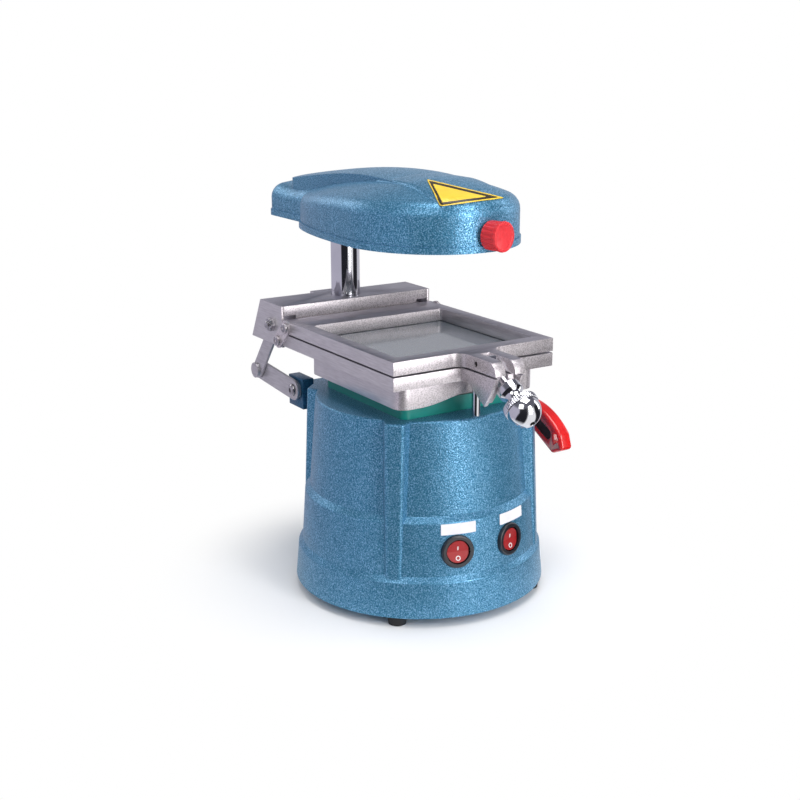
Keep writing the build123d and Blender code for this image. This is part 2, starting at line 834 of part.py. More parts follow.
with BuildPart() as red_grip:
    with BuildSketch(side_view(lever_x - (grip_width - lever_thickness) / 2)):
        with BuildLine():
            ThreePointArc(grip_top_start, grip_top_middle, grip_top_end)
            Polyline(grip_top_end, grip_tip, grip_bottom_end)
            ThreePointArc(grip_bottom_end, grip_bottom_middle, grip_bottom_start)
            Line(grip_bottom_start, grip_top_start)
        make_face()
    extrude(amount=grip_width)
    fillet(red_grip.edges(), grip_edge)
    with BuildSketch(side_view(lever_x)):
        with Locations(middle(pivot_one, lever_tip)):
            SlotCenterToCenter(
                math.dist(pivot_one, lever_tip),
                2 * (lever_half_width + seat_gap),
                rotation=direction_degrees(lever_tip, pivot_one),
            )
    extrude(amount=lever_thickness, mode=Mode.SUBTRACT)
    with BuildSketch(side_view(lever_x - (grip_width - lever_thickness) / 2)):
        with Locations(grip_recess_place):
            SlotOverall(grip_recess_length, grip_recess_width, rotation=grip_recess_turn)
    extrude(amount=grip_recess_depth, mode=Mode.SUBTRACT)
red_grip.part.label = "red_grip"
export_step(red_grip.part, "parts/red_grip.step")

# Plastic sheet held between the frames
with BuildPart() as sheet:
    with BuildSketch(Plane.XY.offset(lower_top_z)):
        with Locations((0, (window_front_y + window_back_y) / 2)):
            Rectangle(sheet_size, sheet_size)
    extrude(amount=sheet_thickness)
sheet.part.label = "sheet"
export_step(sheet.part, "parts/sheet.step")

# Upper frame with its slotted boss
with BuildPart() as upper_frame:
    with BuildSketch(Plane.XY.offset(upper_bottom_z)):
        with Locations((0, frame_front_y)):
            Rectangle(2 * frame_half_width, frame_back_y - frame_front_y, align=(Align.CENTER, Align.MIN))
            Rectangle(2 * boss_half_width, frame_front_y - boss_front_y, align=(Align.CENTER, Align.MAX))
        with Locations((0, (window_front_y + window_back_y) / 2)):
            RectangleRounded(
                2 * window_half_width,
                window_back_y - window_front_y,
                window_corner,
                mode=Mode.SUBTRACT,
            )
    extrude(amount=upper_thickness)
    nose_edge = upper_frame.edges().filter_by(Axis.X).group_by(Axis.Y)[0].sort_by(Axis.Z)[-1]
    fillet(nose_edge, upper_thickness - nose_flat)
    back_edge = upper_frame.edges().filter_by(Axis.X).group_by(Axis.Y)[-1].sort_by(Axis.Z)[0]
    chamfer(back_edge, clamp_back_chamfer)
    root_edges = upper_frame.edges().filter_by(Axis.Z).filter_by(
        lambda edge: abs(edge.center().Y - frame_front_y) < 0.1 and abs(edge.center().X) < 2 * boss_half_width
    )
    fillet(root_edges, boss_root)
    with BuildSketch(Plane.XY.offset(upper_bottom_z)):
        with Locations((0, boss_front_y)):
            Rectangle(2 * slot_half_width, 2 * (slot_back_y - boss_front_y))
    extrude(amount=upper_thickness, mode=Mode.SUBTRACT)
    with BuildSketch(side_view(-boss_half_width)):
        with Locations((latch_pin_y, latch_pin_z)):
            Circle(latch_pin_radius + running_gap)
    extrude(amount=2 * boss_half_width, mode=Mode.SUBTRACT)
    for side in (-1, 1):
        with BuildSketch(side_view(side * frame_half_width)):
            with Locations((clamp_pivot_y, clamp_pivot_z)):
                Circle(ear_pin_radius + running_gap)
        extrude(amount=-side * (ear_pin_depth + hinge_gap), mode=Mode.SUBTRACT)
upper_frame.part.label = "upper_frame"
export_step(upper_frame.part, "parts/upper_frame.step")

# Cross pin of the clamp bolt
with BuildPart() as latch_pin:
    with BuildSketch(side_view(-boss_half_width + latch_pin_inset)):
        with Locations((latch_pin_y, latch_pin_z)):
            Circle(latch_pin_radius)
    extrude(amount=2 * (boss_half_width - latch_pin_inset))
latch_pin.part.label = "latch_pin"
export_step(latch_pin.part, "parts/latch_pin.step")


def down_the_bolt(distance):
    """Sketch plane square to the clamp bolt at a distance from its cross pin."""
    spot = along_latch(distance)
    return Plane(
        origin=(0, spot[0], spot[1]),
        x_dir=(1, 0, 0),
        z_dir=(0, latch_direction[0], latch_direction[1]),
    )


# Swing bolt with its eye
with BuildPart() as swing_bolt:
    with BuildSketch(side_view(-eye_half_width)):
        with Locations((latch_pin_y, latch_pin_z)):
            Circle(eye_radius)
    extrude(amount=2 * eye_half_width)
    with BuildSketch(down_the_bolt(0)):
        Circle(swing_bolt_radius)
    extrude(amount=knob_rim_start)
    with BuildSketch(side_view(-eye_half_width)):
        with Locations((latch_pin_y, latch_pin_z)):
            Circle(latch_pin_radius + running_gap)
    extrude(amount=2 * eye_half_width, mode=Mode.SUBTRACT)
swing_bolt.part.label = "swing_bolt"
export_step(swing_bolt.part, "parts/swing_bolt.step")

# Ball knob screwed on the swing bolt: collar, waisted neck, gripping rim and ball, sketched along the bolt
bolt_side = Plane(
    origin=(0, *along_latch(0)),
    x_dir=(1, 0, 0),
    z_dir=(0, -latch_direction[1], latch_direction[0]),
)
knob_collar_start = latch_face + seat_gap
knob_bore_radius = swing_bolt_radius + running_gap
knob_bore_end = knob_rim_start + seat_gap
ball_start_radius = math.sqrt(knob_ball_radius**2 - (knob_ball_centre - knob_rim_end) ** 2)
ball_end = knob_ball_centre + math.sqrt(knob_ball_radius**2 - knob_hole_radius**2)
ball_middle = knob_ball_radius * math.cos(math.pi / 4)
with BuildPart() as ball_knob:
    with BuildSketch(bolt_side):
        with BuildLine():
            Polyline(
                (knob_bore_radius, knob_collar_start),
                (knob_collar_radius, knob_collar_start),
                (knob_collar_radius, knob_collar_end),
                (knob_neck_radius, knob_neck_start),
            )
            ThreePointArc(
                (knob_neck_radius, knob_neck_start),
                (knob_neck_waist, (knob_neck_start + knob_neck_end) / 2),
                (knob_neck_radius, knob_neck_end),
            )
            Polyline(
                (knob_neck_radius, knob_neck_end),
                (knob_rim_radius - knob_rim_edge, knob_rim_start),
                (knob_rim_radius, knob_rim_start + knob_rim_edge),
                (knob_rim_radius, knob_rim_end),
                (ball_start_radius, knob_rim_end),
            )
            ThreePointArc(
                (ball_start_radius, knob_rim_end),
                (ball_middle, knob_ball_centre + ball_middle),
                (knob_hole_radius, ball_end),
            )
            Polyline(
                (knob_hole_radius, ball_end),
                (knob_hole_radius, ball_end - knob_hole_depth),
                (0, ball_end - knob_hole_depth),
                (0, knob_bore_end),
                (knob_bore_radius, knob_bore_end),
                (knob_bore_radius, knob_collar_start),
            )
        make_face()
    revolve(axis=Axis((0, *along_latch(0)), (0, latch_direction[0], latch_direction[1])))
ball_knob.part.label = "ball_knob"
export_step(ball_knob.part, "parts/ball_knob.step")


def head_outline(inset=0.0):
    """Plan outline of the heater head, or the same outline moved inwards."""
    side_reach = head_half_width - tail_half_width
    back_reach = dome_back_reach - inset
    stop = math.radians(dome_back_stop)
    tail_side = tail_half_width - inset
    dome_end = (tail_side + side_reach * math.cos(stop), dome_centre_y + back_reach * math.sin(stop))
    heading = (-side_reach * math.sin(stop), back_reach * math.cos(stop))
    turn_left = math.atan2(-heading[0], heading[1])
    neck_radius = side_reach * math.cos(stop) / (1 - math.cos(turn_left))
    tail_start = (tail_side, dome_end[1] + neck_radius * math.sin(turn_left))
    tail_end = (tail_side, head_back_y - tail_corner)
    back_start = (tail_half_width - tail_corner, head_back_y - inset)
    with BuildSketch(mode=Mode.PRIVATE) as outline:
        with BuildLine():
            EllipticalCenterArc(
                (0, dome_centre_y),
                head_half_width - inset,
                dome_centre_y - head_front_y - inset,
                start_angle=-90,
                arc_size=90,
            )
            EllipticalCenterArc(
                (tail_side, dome_centre_y),
                side_reach,
                back_reach,
                start_angle=0,
                arc_size=dome_back_stop,
            )
            TangentArc(dome_end, tail_start, tangent=heading)
            Line(tail_start, tail_end)
            TangentArc(tail_end, back_start, tangent=(0, 1))
            Line(back_start, (0, head_back_y - inset))
            mirror(about=Plane.YZ)
        make_face()
    return outline.sketch


def crown_section(crest_y, crest_z):
    """Cross-section of the head's top at one place along it, arched over the rim."""
    with BuildSketch(Plane.XZ.offset(-crest_y), mode=Mode.PRIVATE) as section:
        with BuildLine():
            ThreePointArc(
                (-head_crown_width, crest_z - head_crown_drop),
                (0, crest_z),
                (head_crown_width, crest_z - head_crown_drop),
            )
            Polyline(
                (head_crown_width, crest_z - head_crown_drop),
                (head_crown_width, head_rim_z),
                (-head_crown_width, head_rim_z),
                (-head_crown_width, crest_z - head_crown_drop),
            )
        make_face()
    return section.sketch


# Heater head: a shell open underneath, its top crowned along and across, with a raised spine
head_plan = head_outline()
lip_plan = head_outline(-head_lip_proud)
hollow_plan = head_outline(head_wall)
crown_sections = [crown_section(crest_y, crest_z) for crest_y, crest_z in head_crest]
spine_sections = [crown_section(crest_y, crest_z) for crest_y, crest_z in spine_crest]
with BuildPart() as heater_crown:
    add(crown_sections)
    loft()

with BuildPart() as spine_crown:
    add(spine_sections)
    loft()

with BuildPart() as heater_spine:
    with BuildSketch(Plane.XY.offset(head_rim_z + head_hollow)):
        with Locations((0, (spine_front_y + spine_back_y) / 2)):
            Rectangle(2 * spine_half_width, spine_back_y - spine_front_y)
    extrude(amount=head_height)
    add(spine_crown.part, mode=Mode.INTERSECT)
    fillet(heater_spine.edges().filter_by(Axis.Z).group_by(Axis.Y)[-1], spine_back_edge)

with BuildPart() as heater_housing:
    with BuildSketch(Plane.XY.offset(head_rim_z)):
        add(head_plan)
    extrude(amount=head_height)
    add(heater_crown.part, mode=Mode.INTERSECT)
    fillet(heater_housing.faces().sort_by(Axis.Z)[-1].edges(), head_shoulder)
    add(heater_spine.part)
    with BuildSketch(Plane.XY.offset(head_rim_z)):
        add(lip_plan)
    extrude(amount=head_lip)
    with BuildSketch(Plane.XY.offset(head_rim_z)):
        add(hollow_plan)
    extrude(amount=head_tail_hollow, mode=Mode.SUBTRACT)
    with BuildSketch(Plane.XY.offset(head_rim_z)):
        add(hollow_plan)
        with Locations((0, head_hollow_back_y)):
            Rectangle(
                2 * head_half_width,
                head_back_y,
                align=(Align.CENTER, Align.MIN),
                mode=Mode.SUBTRACT,
            )
        with Locations((0, column_y)):
            Circle(hub_radius + seat_gap)
    extrude(amount=head_hollow, mode=Mode.SUBTRACT)
heater_housing.part.label = "heater_housing"
export_step(heater_housing.part, "parts/heater_housing.step")

# Bearing of the head on the column
with BuildPart() as heater_hub:
    with BuildSketch(Plane.XY.offset(head_rim_z + head_lip)):
        with Locations((0, column_y)):
            Circle(hub_radius)
            Circle(column_radius + running_gap, mode=Mode.SUBTRACT)
    extrude(amount=head_hollow - head_lip)
heater_hub.part.label = "heater_hub"
export_step(heater_hub.part, "parts/heater_hub.step")

# Reflector and heating element under the dome
with BuildPart() as reflector:
    with BuildSketch(Plane.XY.offset(reflector_z)):
        with Locations((0, heater_y)):
            Circle(heater_radius + reflector_margin)
    extrude(amount=reflector_thickness)
reflector.part.label = "reflector"
export_step(reflector.part, "parts/reflector.step")

with BuildPart() as heating_element:
    for ring_radius in heater_rings:
        with BuildSketch(Plane.XZ):
            with Locations((ring_radius, 0)):
                Circle(element_radius)
        revolve(axis=Axis.Z)
    with BuildSketch(Plane.XY.offset(-element_radius / 2)):
        Rectangle(2 * heater_rings[-1], element_bar)
    extrude(amount=element_radius)
heating_element.part = heating_element.part.moved(
    Location((0, heater_y, reflector_z - element_radius - seat_gap))
)
heating_element.part.label = "heating_element"
export_step(heating_element.part, "parts/heating_element.step")

# Red fluted knob at the front of the head
with BuildPart() as heater_knob:
    with BuildSketch(knob_plane):
        Circle(heater_knob_radius)
    extrude(amount=heater_knob_length)
heater_knob.part.label = "heater_knob"
export_step(heater_knob.part, "parts/heater_knob.step")
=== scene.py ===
"""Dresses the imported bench-top vacuum forming machine for rendering.

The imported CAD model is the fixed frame. Each sub-assembly of the machine is a class that builds
its detailed pieces around the CAD nodes and gives them their finishes.
"""

import json
import logging
import math
from dataclasses import dataclass
from enum import Enum
from typing import Callable, Sequence

import bmesh
import bpy
from mathutils import Matrix, Vector
from mathutils.bvhtree import BVHTree

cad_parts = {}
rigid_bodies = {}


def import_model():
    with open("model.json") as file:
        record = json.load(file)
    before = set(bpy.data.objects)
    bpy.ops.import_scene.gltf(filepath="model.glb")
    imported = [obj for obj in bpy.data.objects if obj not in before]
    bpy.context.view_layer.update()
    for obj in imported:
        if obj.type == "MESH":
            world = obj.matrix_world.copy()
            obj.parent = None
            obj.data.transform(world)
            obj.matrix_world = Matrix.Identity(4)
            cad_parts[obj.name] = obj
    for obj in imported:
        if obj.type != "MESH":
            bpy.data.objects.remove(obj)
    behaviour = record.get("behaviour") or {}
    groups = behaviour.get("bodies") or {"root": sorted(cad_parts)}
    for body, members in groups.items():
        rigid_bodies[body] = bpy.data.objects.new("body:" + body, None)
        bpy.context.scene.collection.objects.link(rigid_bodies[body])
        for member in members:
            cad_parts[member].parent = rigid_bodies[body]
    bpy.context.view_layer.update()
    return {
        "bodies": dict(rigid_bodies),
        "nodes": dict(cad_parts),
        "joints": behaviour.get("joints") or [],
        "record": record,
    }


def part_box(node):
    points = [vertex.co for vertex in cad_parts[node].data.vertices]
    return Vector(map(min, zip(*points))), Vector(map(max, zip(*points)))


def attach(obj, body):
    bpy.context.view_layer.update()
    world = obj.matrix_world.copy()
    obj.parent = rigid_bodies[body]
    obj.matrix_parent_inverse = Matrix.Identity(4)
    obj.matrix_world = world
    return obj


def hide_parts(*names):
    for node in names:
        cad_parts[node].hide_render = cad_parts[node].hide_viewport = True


LOG = logging.getLogger("vacuum_former")
MM = 0.001
SAME_POINT = 1e-6
LOOSE_POINT = 2e-5
FLAT_DEGREES = 0.6
Pair = tuple[float, float]
Point = tuple[float, float, float]
Colour = tuple[float, float, float]
Mesh = bmesh.types.BMesh
Object = bpy.types.Object
Material = bpy.types.Material
Socket = bpy.types.NodeSocket
WHITE = (1.0, 1.0, 1.0)
LAVENDER = (0.52, 0.5, 0.6)
GREY = (0.62, 0.62, 0.68)
DARK = (0.02, 0.02, 0.025)
OPAQUE_WHITE = (*WHITE, 1.0)


class Body(str, Enum):
    """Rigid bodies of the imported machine."""

    BASE = "base"
    CARRIAGE = "carriage"
    CLAMP_FRAME = "clamp_frame"
    SWING_BOLT = "swing_bolt"
    BALL_KNOB = "ball_knob"
    LEVER = "lever"
    LINK_LOWER_LEFT = "link_lower_left"
    LINK_UPPER_LEFT = "link_upper_left"
    LINK_UPPER_RIGHT = "link_upper_right"
    HEATER_HEAD = "heater_head"
    ROCKER_LEFT = "rocker_left"
    ROCKER_RIGHT = "rocker_right"


class Slot(str, Enum):
    """Material slots of the record."""

    ENAMEL = "blue_hammertone"
    STEEL = "plain_steel"
    CAST = "cast_aluminium"
    CHROME = "chrome_plate"
    RUBBER = "black_rubber"
    TEAL = "teal_rubber"
    BLACK = "black_plastic"
    RED = "red_plastic"
    SHEET = "clear_sheet"
    ELEMENT = "element_steel"


def srgb(red: int, green: int, blue: int) -> Colour:
    """Turns a display colour of 0 to 255 into a linear one."""
    shares = (value / 255 for value in (red, green, blue))
    return tuple(s / 12.92 if s <= 0.04 else ((s + 0.055) / 1.055) ** 2.4 for s in shares)


class Tree:
    """A node tree, with one short way to add a node and link it."""

    def __init__(self, tree: bpy.types.NodeTree) -> None:
        """Keeps the tree's nodes and links."""
        self.nodes, self.links = tree.nodes, tree.links

    def add(self, kind: str, output: str, inputs: dict[str | int, Socket | float | tuple],
            **settings: str) -> Socket:
        """Adds a node.

        Args:
            kind: The node's type.
            output: Name of the output that is handed back.
            inputs: Values by input name or number: a socket is linked, anything else is set.
            **settings: The node's options.

        Returns:
            The named output.
        """
        node = self.nodes.new(kind)
        for name, value in settings.items():
            setattr(node, name, value)
        for name, value in inputs.items():
            if isinstance(value, Socket):
                self.links.new(value, node.inputs[name])
            else:
                node.inputs[name].default_value = value
        return node.outputs[output]

    def ramp(self, value: Socket, *stops: tuple[float, Colour | float]) -> Socket:
        """Maps a value through colour stops.

        Args:
            value: The value.
            *stops: Places with a colour or a grey value.

        Returns:
            The mapped colour.
        """
        output = self.add("ShaderNodeValToRGB", "Color", {"Fac": value})
        elements = output.node.color_ramp.elements
        while len(elements) < len(stops):
            elements.new(0.5)
        for element, (at, colour) in zip(elements, stops):
            element.position = at
            element.color = (*colour, 1.0) if isinstance(colour, tuple) else (colour, colour, colour, 1.0)
        return output


class Recipe(Tree):
    """Builds one material's node tree."""

    def __init__(self, name: str) -> None:
        """Starts the material.

        Args:
            name: The material's name.
        """
        self.material = bpy.data.materials.new(name)
        self.material.use_nodes = True
        super().__init__(self.material.node_tree)
        self.shader = self.nodes["Principled BSDF"]
        self.place = self.add("ShaderNodeTexCoord", "Object", {})

    def set(self, **values: float | tuple) -> "Recipe":
        """Sets sockets of the shader.

        Args:
            **values: Socket names with underscores for spaces, and their values.

        Returns:
            The recipe itself.
        """
        for name, value in values.items():
            self.shader.inputs[name.replace("_", " ")].default_value = value
        return self

    def stretched(self, scale: Point) -> Socket:
        """Coordinates scaled by axis, for brushed or drawn patterns."""
        return self.add("ShaderNodeMapping", "Vector", {"Vector": self.place, "Scale": scale})

    def noise(self, scale: float, detail: float = 3.0, where: Socket | None = None) -> Socket:
        """Adds a noise pattern of so many cells to the metre, on the piece's coordinates or others."""
        inputs = {"Scale": scale, "Detail": detail, "Vector": where or self.place}
        return self.add("ShaderNodeTexNoise", "Fac", inputs)

    def dimples(self, scale: float) -> Socket:
        """Adds a pattern of soft cells, so many to the metre."""
        inputs = {"Scale": scale, "Vector": self.place}
        return self.add("ShaderNodeTexVoronoi", "Distance", inputs, feature="SMOOTH_F1")

    def feed(self, socket: str, value: Socket) -> None:
        """Links a pattern to a named socket of the shader."""
        self.links.new(value, self.shader.inputs[socket])

    def clouded(self, tone: Socket, clouds: Socket, darkest: float) -> None:
        """Colours the shader with a tone that clouds darken.

        Args:
            tone: The tone.
            clouds: The clouds' pattern.
            darkest: Share of the tone that is left where the clouds are thickest.
        """
        shade = self.ramp(clouds, (0.3, darkest), (0.7, 1.0))
        inputs = {"Factor": 1.0, "A": tone, "B": shade}
        self.feed("Base Color", self.add(
            "ShaderNodeMix", "Result", inputs, data_type="RGBA", blend_type="MULTIPLY",
        ))

    def worn(self, wear: Socket, colour: Colour, darkest: float) -> None:
        """Colours the shader with a colour that wear darkens, at most to a share of it."""
        dark = tuple(darkest * c for c in colour)
        self.feed("Base Color", self.ramp(wear, (0.3, dark), (0.7, colour)))

    def rough(self, pattern: Socket, first: float, last: float, places: Pair = (0.3, 0.7)) -> None:
        """Varies the roughness from first to last as a pattern goes from the first place to the last."""
        self.feed("Roughness", self.ramp(pattern, *zip(places, (first, last))))

    def bump(self, *layers: tuple[Socket, float, float]) -> None:
        """Adds relief.

        Args:
            *layers: Height patterns with their strength and their depth in metres.
        """
        under: dict[str, Socket] = {}
        for height, strength, depth in layers:
            inputs = {"Height": height, "Strength": strength, "Distance": depth, **under}
            under = {"Normal": self.add("ShaderNodeBump", "Normal", inputs)}
        self.feed("Normal", under["Normal"])


@dataclass(frozen=True)
class HammerEnamel:
    """Hammer-finish enamel: a soft sheen broken up by fine bright and dark speckle."""

    name: str = "hammer_enamel"
    deep: Colour = srgb(38, 104, 138)
    colour: Colour = srgb(72, 134, 168)
    bright: Colour = srgb(130, 182, 220)
    specks_per_metre: float = 1100.0
    dimples_per_speck: float = 0.6
    clouds_per_metre: float = 95.0

    def make(self) -> Material:
        """Builds the material.

        Returns:
            The material.
        """
        recipe = Recipe(self.name)
        specks = recipe.noise(self.specks_per_metre, 2.0)
        dimples = recipe.dimples(self.dimples_per_speck * self.specks_per_metre)
        speckle = recipe.ramp(specks, (0.36, self.deep), (0.5, self.colour), (0.66, self.bright))
        recipe.clouded(speckle, recipe.noise(self.clouds_per_metre, 2.0), 0.93)
        recipe.rough(specks, 0.46, 0.3, (0.35, 0.65))
        recipe.bump((dimples, 0.3, 0.0005), (specks, 0.3, 0.0003))
        return recipe.set(Metallic=0.5, Coat_Weight=0.08, Coat_Roughness=0.25).material


@dataclass(frozen=True)
class CastMetal:
    """Bead-blasted aluminium: pale with fine grains of light and dark."""

    name: str = "blasted_metal"
    dark: Colour = srgb(186, 178, 182)
    pale: Colour = srgb(232, 225, 229)
    grains_per_metre: float = 1500.0
    clouds_per_metre: float = 55.0
    roughness: float = 0.4

    def make(self) -> Material:
        """Builds the material.

        Returns:
            The material.
        """
        recipe = Recipe(self.name)
        grain = recipe.noise(self.grains_per_metre)
        tone = recipe.ramp(grain, (0.38, self.dark), (0.56, self.pale))
        recipe.clouded(tone, recipe.noise(self.clouds_per_metre), 0.9)
        recipe.rough(grain, self.roughness - 0.06, self.roughness + 0.1)
        recipe.bump((grain, 0.22, 0.00014))
        return recipe.set(Metallic=0.8).material


@dataclass(frozen=True)
class BrushedMetal:
    """Machined or drawn metal with fine lines along one axis, or with an even grain."""

    name: str = "brushed_metal"
    dark: Colour = srgb(150, 147, 153)
    pale: Colour = srgb(198, 194, 200)
    lines: Point = (900.0, 70.0, 900.0)
    roughness: float = 0.36
    metallic: float = 0.8
    clouds_per_metre: float = 48.0

    def make(self) -> Material:
        """Builds the material.

        Returns:
            The material.
        """
        recipe = Recipe(self.name)
        lines = recipe.noise(1.0, where=recipe.stretched(self.lines))
        clouds = recipe.noise(self.clouds_per_metre, 2.0)
        recipe.clouded(recipe.ramp(lines, (0.3, self.dark), (0.7, self.pale)), clouds, 0.93)
        recipe.rough(clouds, self.roughness - 0.05, self.roughness + 0.07)
        recipe.bump((lines, 0.06, 0.0001))
        return recipe.set(Metallic=self.metallic).material


@dataclass(frozen=True)
class Polished:
    """Bright chrome with a faint film of handling marks."""

    name: str = "bright_chrome"
    colour: Colour = srgb(225, 225, 230)
    roughness: float = 0.07
    film_per_metre: float = 45.0

    def make(self) -> Material:
        """Builds the material.

        Returns:
            The material.
        """
        recipe = Recipe(self.name)
        film = recipe.noise(self.film_per_metre, 4.0)
        recipe.worn(film, self.colour, 0.9)
        recipe.rough(film, self.roughness - 0.03, self.roughness + 0.06, (0.35, 0.75))
        return recipe.set(Metallic=1.0).material


@dataclass(frozen=True)
class Moulded:
    """Moulded plastic or rubber with a slight grain."""

    name: str
    colour: Colour
    roughness: float
    grains_per_metre: float = 1400.0
    relief: float = 0.00008
    coat: float = 0.0
    wear_per_metre: float = 55.0

    def make(self) -> Material:
        """Builds the material.

        Returns:
            The material.
        """
        recipe = Recipe(self.name)
        wear = recipe.noise(self.wear_per_metre)
        recipe.worn(wear, self.colour, 0.82)
        recipe.rough(wear, self.roughness, self.roughness + 0.1, (0.3, 0.75))
        recipe.bump((recipe.noise(self.grains_per_metre), 0.3, self.relief))
        return recipe.set(Coat_Weight=self.coat, Coat_Roughness=0.06).material


@dataclass(frozen=True)
class SheetPlastic:
    """Glossy see-through forming sheet."""

    name: str = "forming_sheet"
    colour: Colour = srgb(138, 150, 158)
    waves_per_metre: float = 14.0

    def make(self) -> Material:
        """Builds the material.

        Returns:
            The material.
        """
        recipe = Recipe(self.name)
        waves = recipe.noise(self.waves_per_metre, 2.0)
        recipe.worn(waves, self.colour, 0.9)
        recipe.rough(waves, 0.1, 0.2)
        recipe.bump((waves, 0.2, 0.0004))
        return recipe.set(Transmission_Weight=0.25, Coat_Weight=0.6, Coat_Roughness=0.05).material


class Finishes:
    """Every finish of the machine, built once."""

    def __init__(self) -> None:
        """Builds the materials."""
        even, fine = (300.0, 300.0, 300.0), (900.0, 900.0, 900.0)
        self.enamel = HammerEnamel().make()
        self.dark_enamel = HammerEnamel(
            "dark_enamel", srgb(26, 74, 106), srgb(34, 88, 122), srgb(46, 104, 140),
        ).make()
        self.blasted = CastMetal().make()
        self.satin = BrushedMetal("satin_metal", srgb(196, 192, 196), srgb(214, 210, 214)).make()
        # Top faces: real machining lines, and a darker tone than the sides that is painted shade.
        self.milled_top_painted_shade = BrushedMetal(
            "milled_top_painted_shade_metal", srgb(150, 146, 156), srgb(178, 174, 184), (80.0, 900.0, 900.0), 0.4,
        ).make()
        self.steel = BrushedMetal("plate_steel", srgb(186, 183, 187), srgb(206, 203, 207)).make()
        self.bolt = BrushedMetal(
            "bolt_steel", srgb(140, 138, 142), srgb(205, 203, 206), even, 0.2, 1.0,
        ).make()
        self.dark_steel = BrushedMetal(
            "dark_steel", srgb(40, 38, 38), srgb(70, 66, 64), even, 0.4, 0.9,
        ).make()
        self.element = BrushedMetal("oxidised_rod", srgb(46, 42, 40), srgb(92, 84, 80), fine, 0.5).make()
        self.chrome = Polished().make()
        self.red = Moulded("red_plastic", srgb(228, 30, 30), 0.18, coat=0.7).make()
        self.rocker_red = Moulded("rocker_red", srgb(160, 12, 18), 0.42).make()
        # Dark red painted on the floor of the grip's recessed slot as shade.
        self.painted_recess_shade = Moulded("recess_shade", srgb(52, 8, 10), 0.6).make()
        self.red_matt = Moulded("red_knob_plastic", srgb(222, 44, 52), 0.38, coat=0.15).make()
        self.black = Moulded("black_plastic", srgb(34, 35, 42), 0.25, coat=0.4).make()
        self.rubber = Moulded("black_rubber", srgb(28, 28, 30), 0.62, 900.0, 0.0002).make()
        self.teal = Moulded("teal_rubber", srgb(10, 148, 136), 0.36, 900.0, 0.00012, 0.2).make()
        self.white_plate = Moulded("white_plate", srgb(238, 236, 242), 0.35).make()
        self.yellow_plate = Moulded("yellow_plate", srgb(246, 208, 62), 0.3).make()
        self.dark_band = Moulded("dark_band", srgb(52, 42, 26), 0.35).make()
        self.white_mark = Moulded("white_mark", srgb(232, 226, 228), 0.45).make()
        self.sheet = SheetPlastic().make()


def dress(obj: Object, material: Material) -> None:
    """Gives an object one material only."""
    obj.data.materials.clear()
    obj.data.materials.append(material)


def linked(name: str, data: bpy.types.ID) -> Object:
    """Puts a new object with its mesh, lamp or camera in the scene.

    Args:
        name: The object's name.
        data: Its mesh, lamp or camera.

    Returns:
        The new object.
    """
    obj = bpy.data.objects.new(name, data)
    bpy.context.scene.collection.objects.link(obj)
    return obj


def meshed(name: str, mesh: Mesh) -> Object:
    """Puts a new object made of a bmesh in the scene.

    Args:
        name: The object's name.
        mesh: Its mesh, which is freed.

    Returns:
        The new object.
    """
    data = bpy.data.meshes.new(name)
    mesh.to_mesh(data)
    mesh.free()
    return linked(name, data)


def as_piece(name: str, mesh: Mesh, body: Body, materials: Sequence[Material],
             replaced: Sequence[str] = (), smooth: float = 35.0) -> None:
    """Turns a bmesh into a piece that rides on a body.

    Args:
        name: The piece's name.
        mesh: Its mesh, in metres in the frame; it is freed.
        body: The body it rides on.
        materials: Its finishes, in the order of the faces' material numbers.
        replaced: CAD nodes that it stands for.
        smooth: Edges sharper than this many degrees stay sharp.
    """
    bmesh.ops.recalc_face_normals(mesh, faces=mesh.faces)
    for face in mesh.faces:
        face.smooth = True
    for edge in mesh.edges:
        edge.smooth = len(edge.link_faces) == 2 and edge.calc_face_angle(0.0) < math.radians(smooth)
    obj = meshed(name, mesh)
    for material in materials:
        obj.data.materials.append(material)
    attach(obj, body.value)
    if replaced:
        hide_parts(*replaced)
    LOG.info("piece %s on %s", name, body.value)


def merged_copy(node: Object) -> Mesh:
    """Copies a CAD node's mesh and merges its loose triangles.

    Args:
        node: The CAD node.

    Returns:
        The merged mesh.
    """
    mesh = bmesh.new()
    mesh.from_mesh(node.data)
    bmesh.ops.remove_doubles(mesh, verts=mesh.verts, dist=LOOSE_POINT)
    limit = math.radians(FLAT_DEGREES)
    bmesh.ops.dissolve_limit(mesh, angle_limit=limit, verts=mesh.verts, edges=mesh.edges)
    return mesh


def broken_copy(node: Object, width: float, sharp: float = 40.0) -> Mesh:
    """Copies a CAD node's mesh and breaks its sharp edges.

    Args:
        node: The CAD node.
        width: Width of the broken edge in metres.
        sharp: Edges sharper than this many degrees are broken.

    Returns:
        The mesh.
    """
    mesh = merged_copy(node)
    limit = math.radians(sharp)
    edges = [e for e in mesh.edges if len(e.link_faces) == 2 and e.calc_face_angle(0.0) > limit]
    bmesh.ops.bevel(
        mesh, geom=edges, offset=width, offset_type="OFFSET", affect="EDGES",
        segments=2, profile=0.5, material=-1, clamp_overlap=True,
    )
    return mesh


def frame_at(origin: Vector, axis: Vector) -> Matrix:
    """Matrix that puts local Z along an axis at an origin."""
    return Matrix.Translation(origin) @ axis.to_track_quat("Z", "Y").to_matrix().to_4x4()


def spun(profile: Sequence[Pair], where: Matrix, steps: int) -> Mesh:
    """Turns a profile about local Z.

    Args:
        profile: Points of radius and height in millimetres, from pole to pole.
        where: Places the turned form.
        steps: Steps round the axis.

    Returns:
        The turned mesh.
    """
    mesh = bmesh.new()
    verts = [mesh.verts.new((r * MM, 0.0, z * MM)) for r, z in profile]
    edges = [mesh.edges.new(pair) for pair in zip(verts, verts[1:])]
    bmesh.ops.spin(
        mesh, geom=list(mesh.verts) + edges, cent=(0, 0, 0), axis=(0, 0, 1),
        angle=2 * math.pi, steps=steps, use_merge=True,
    )
    bmesh.ops.remove_doubles(mesh, verts=mesh.verts, dist=SAME_POINT)
    bmesh.ops.transform(mesh, matrix=where, verts=mesh.verts)
    return mesh


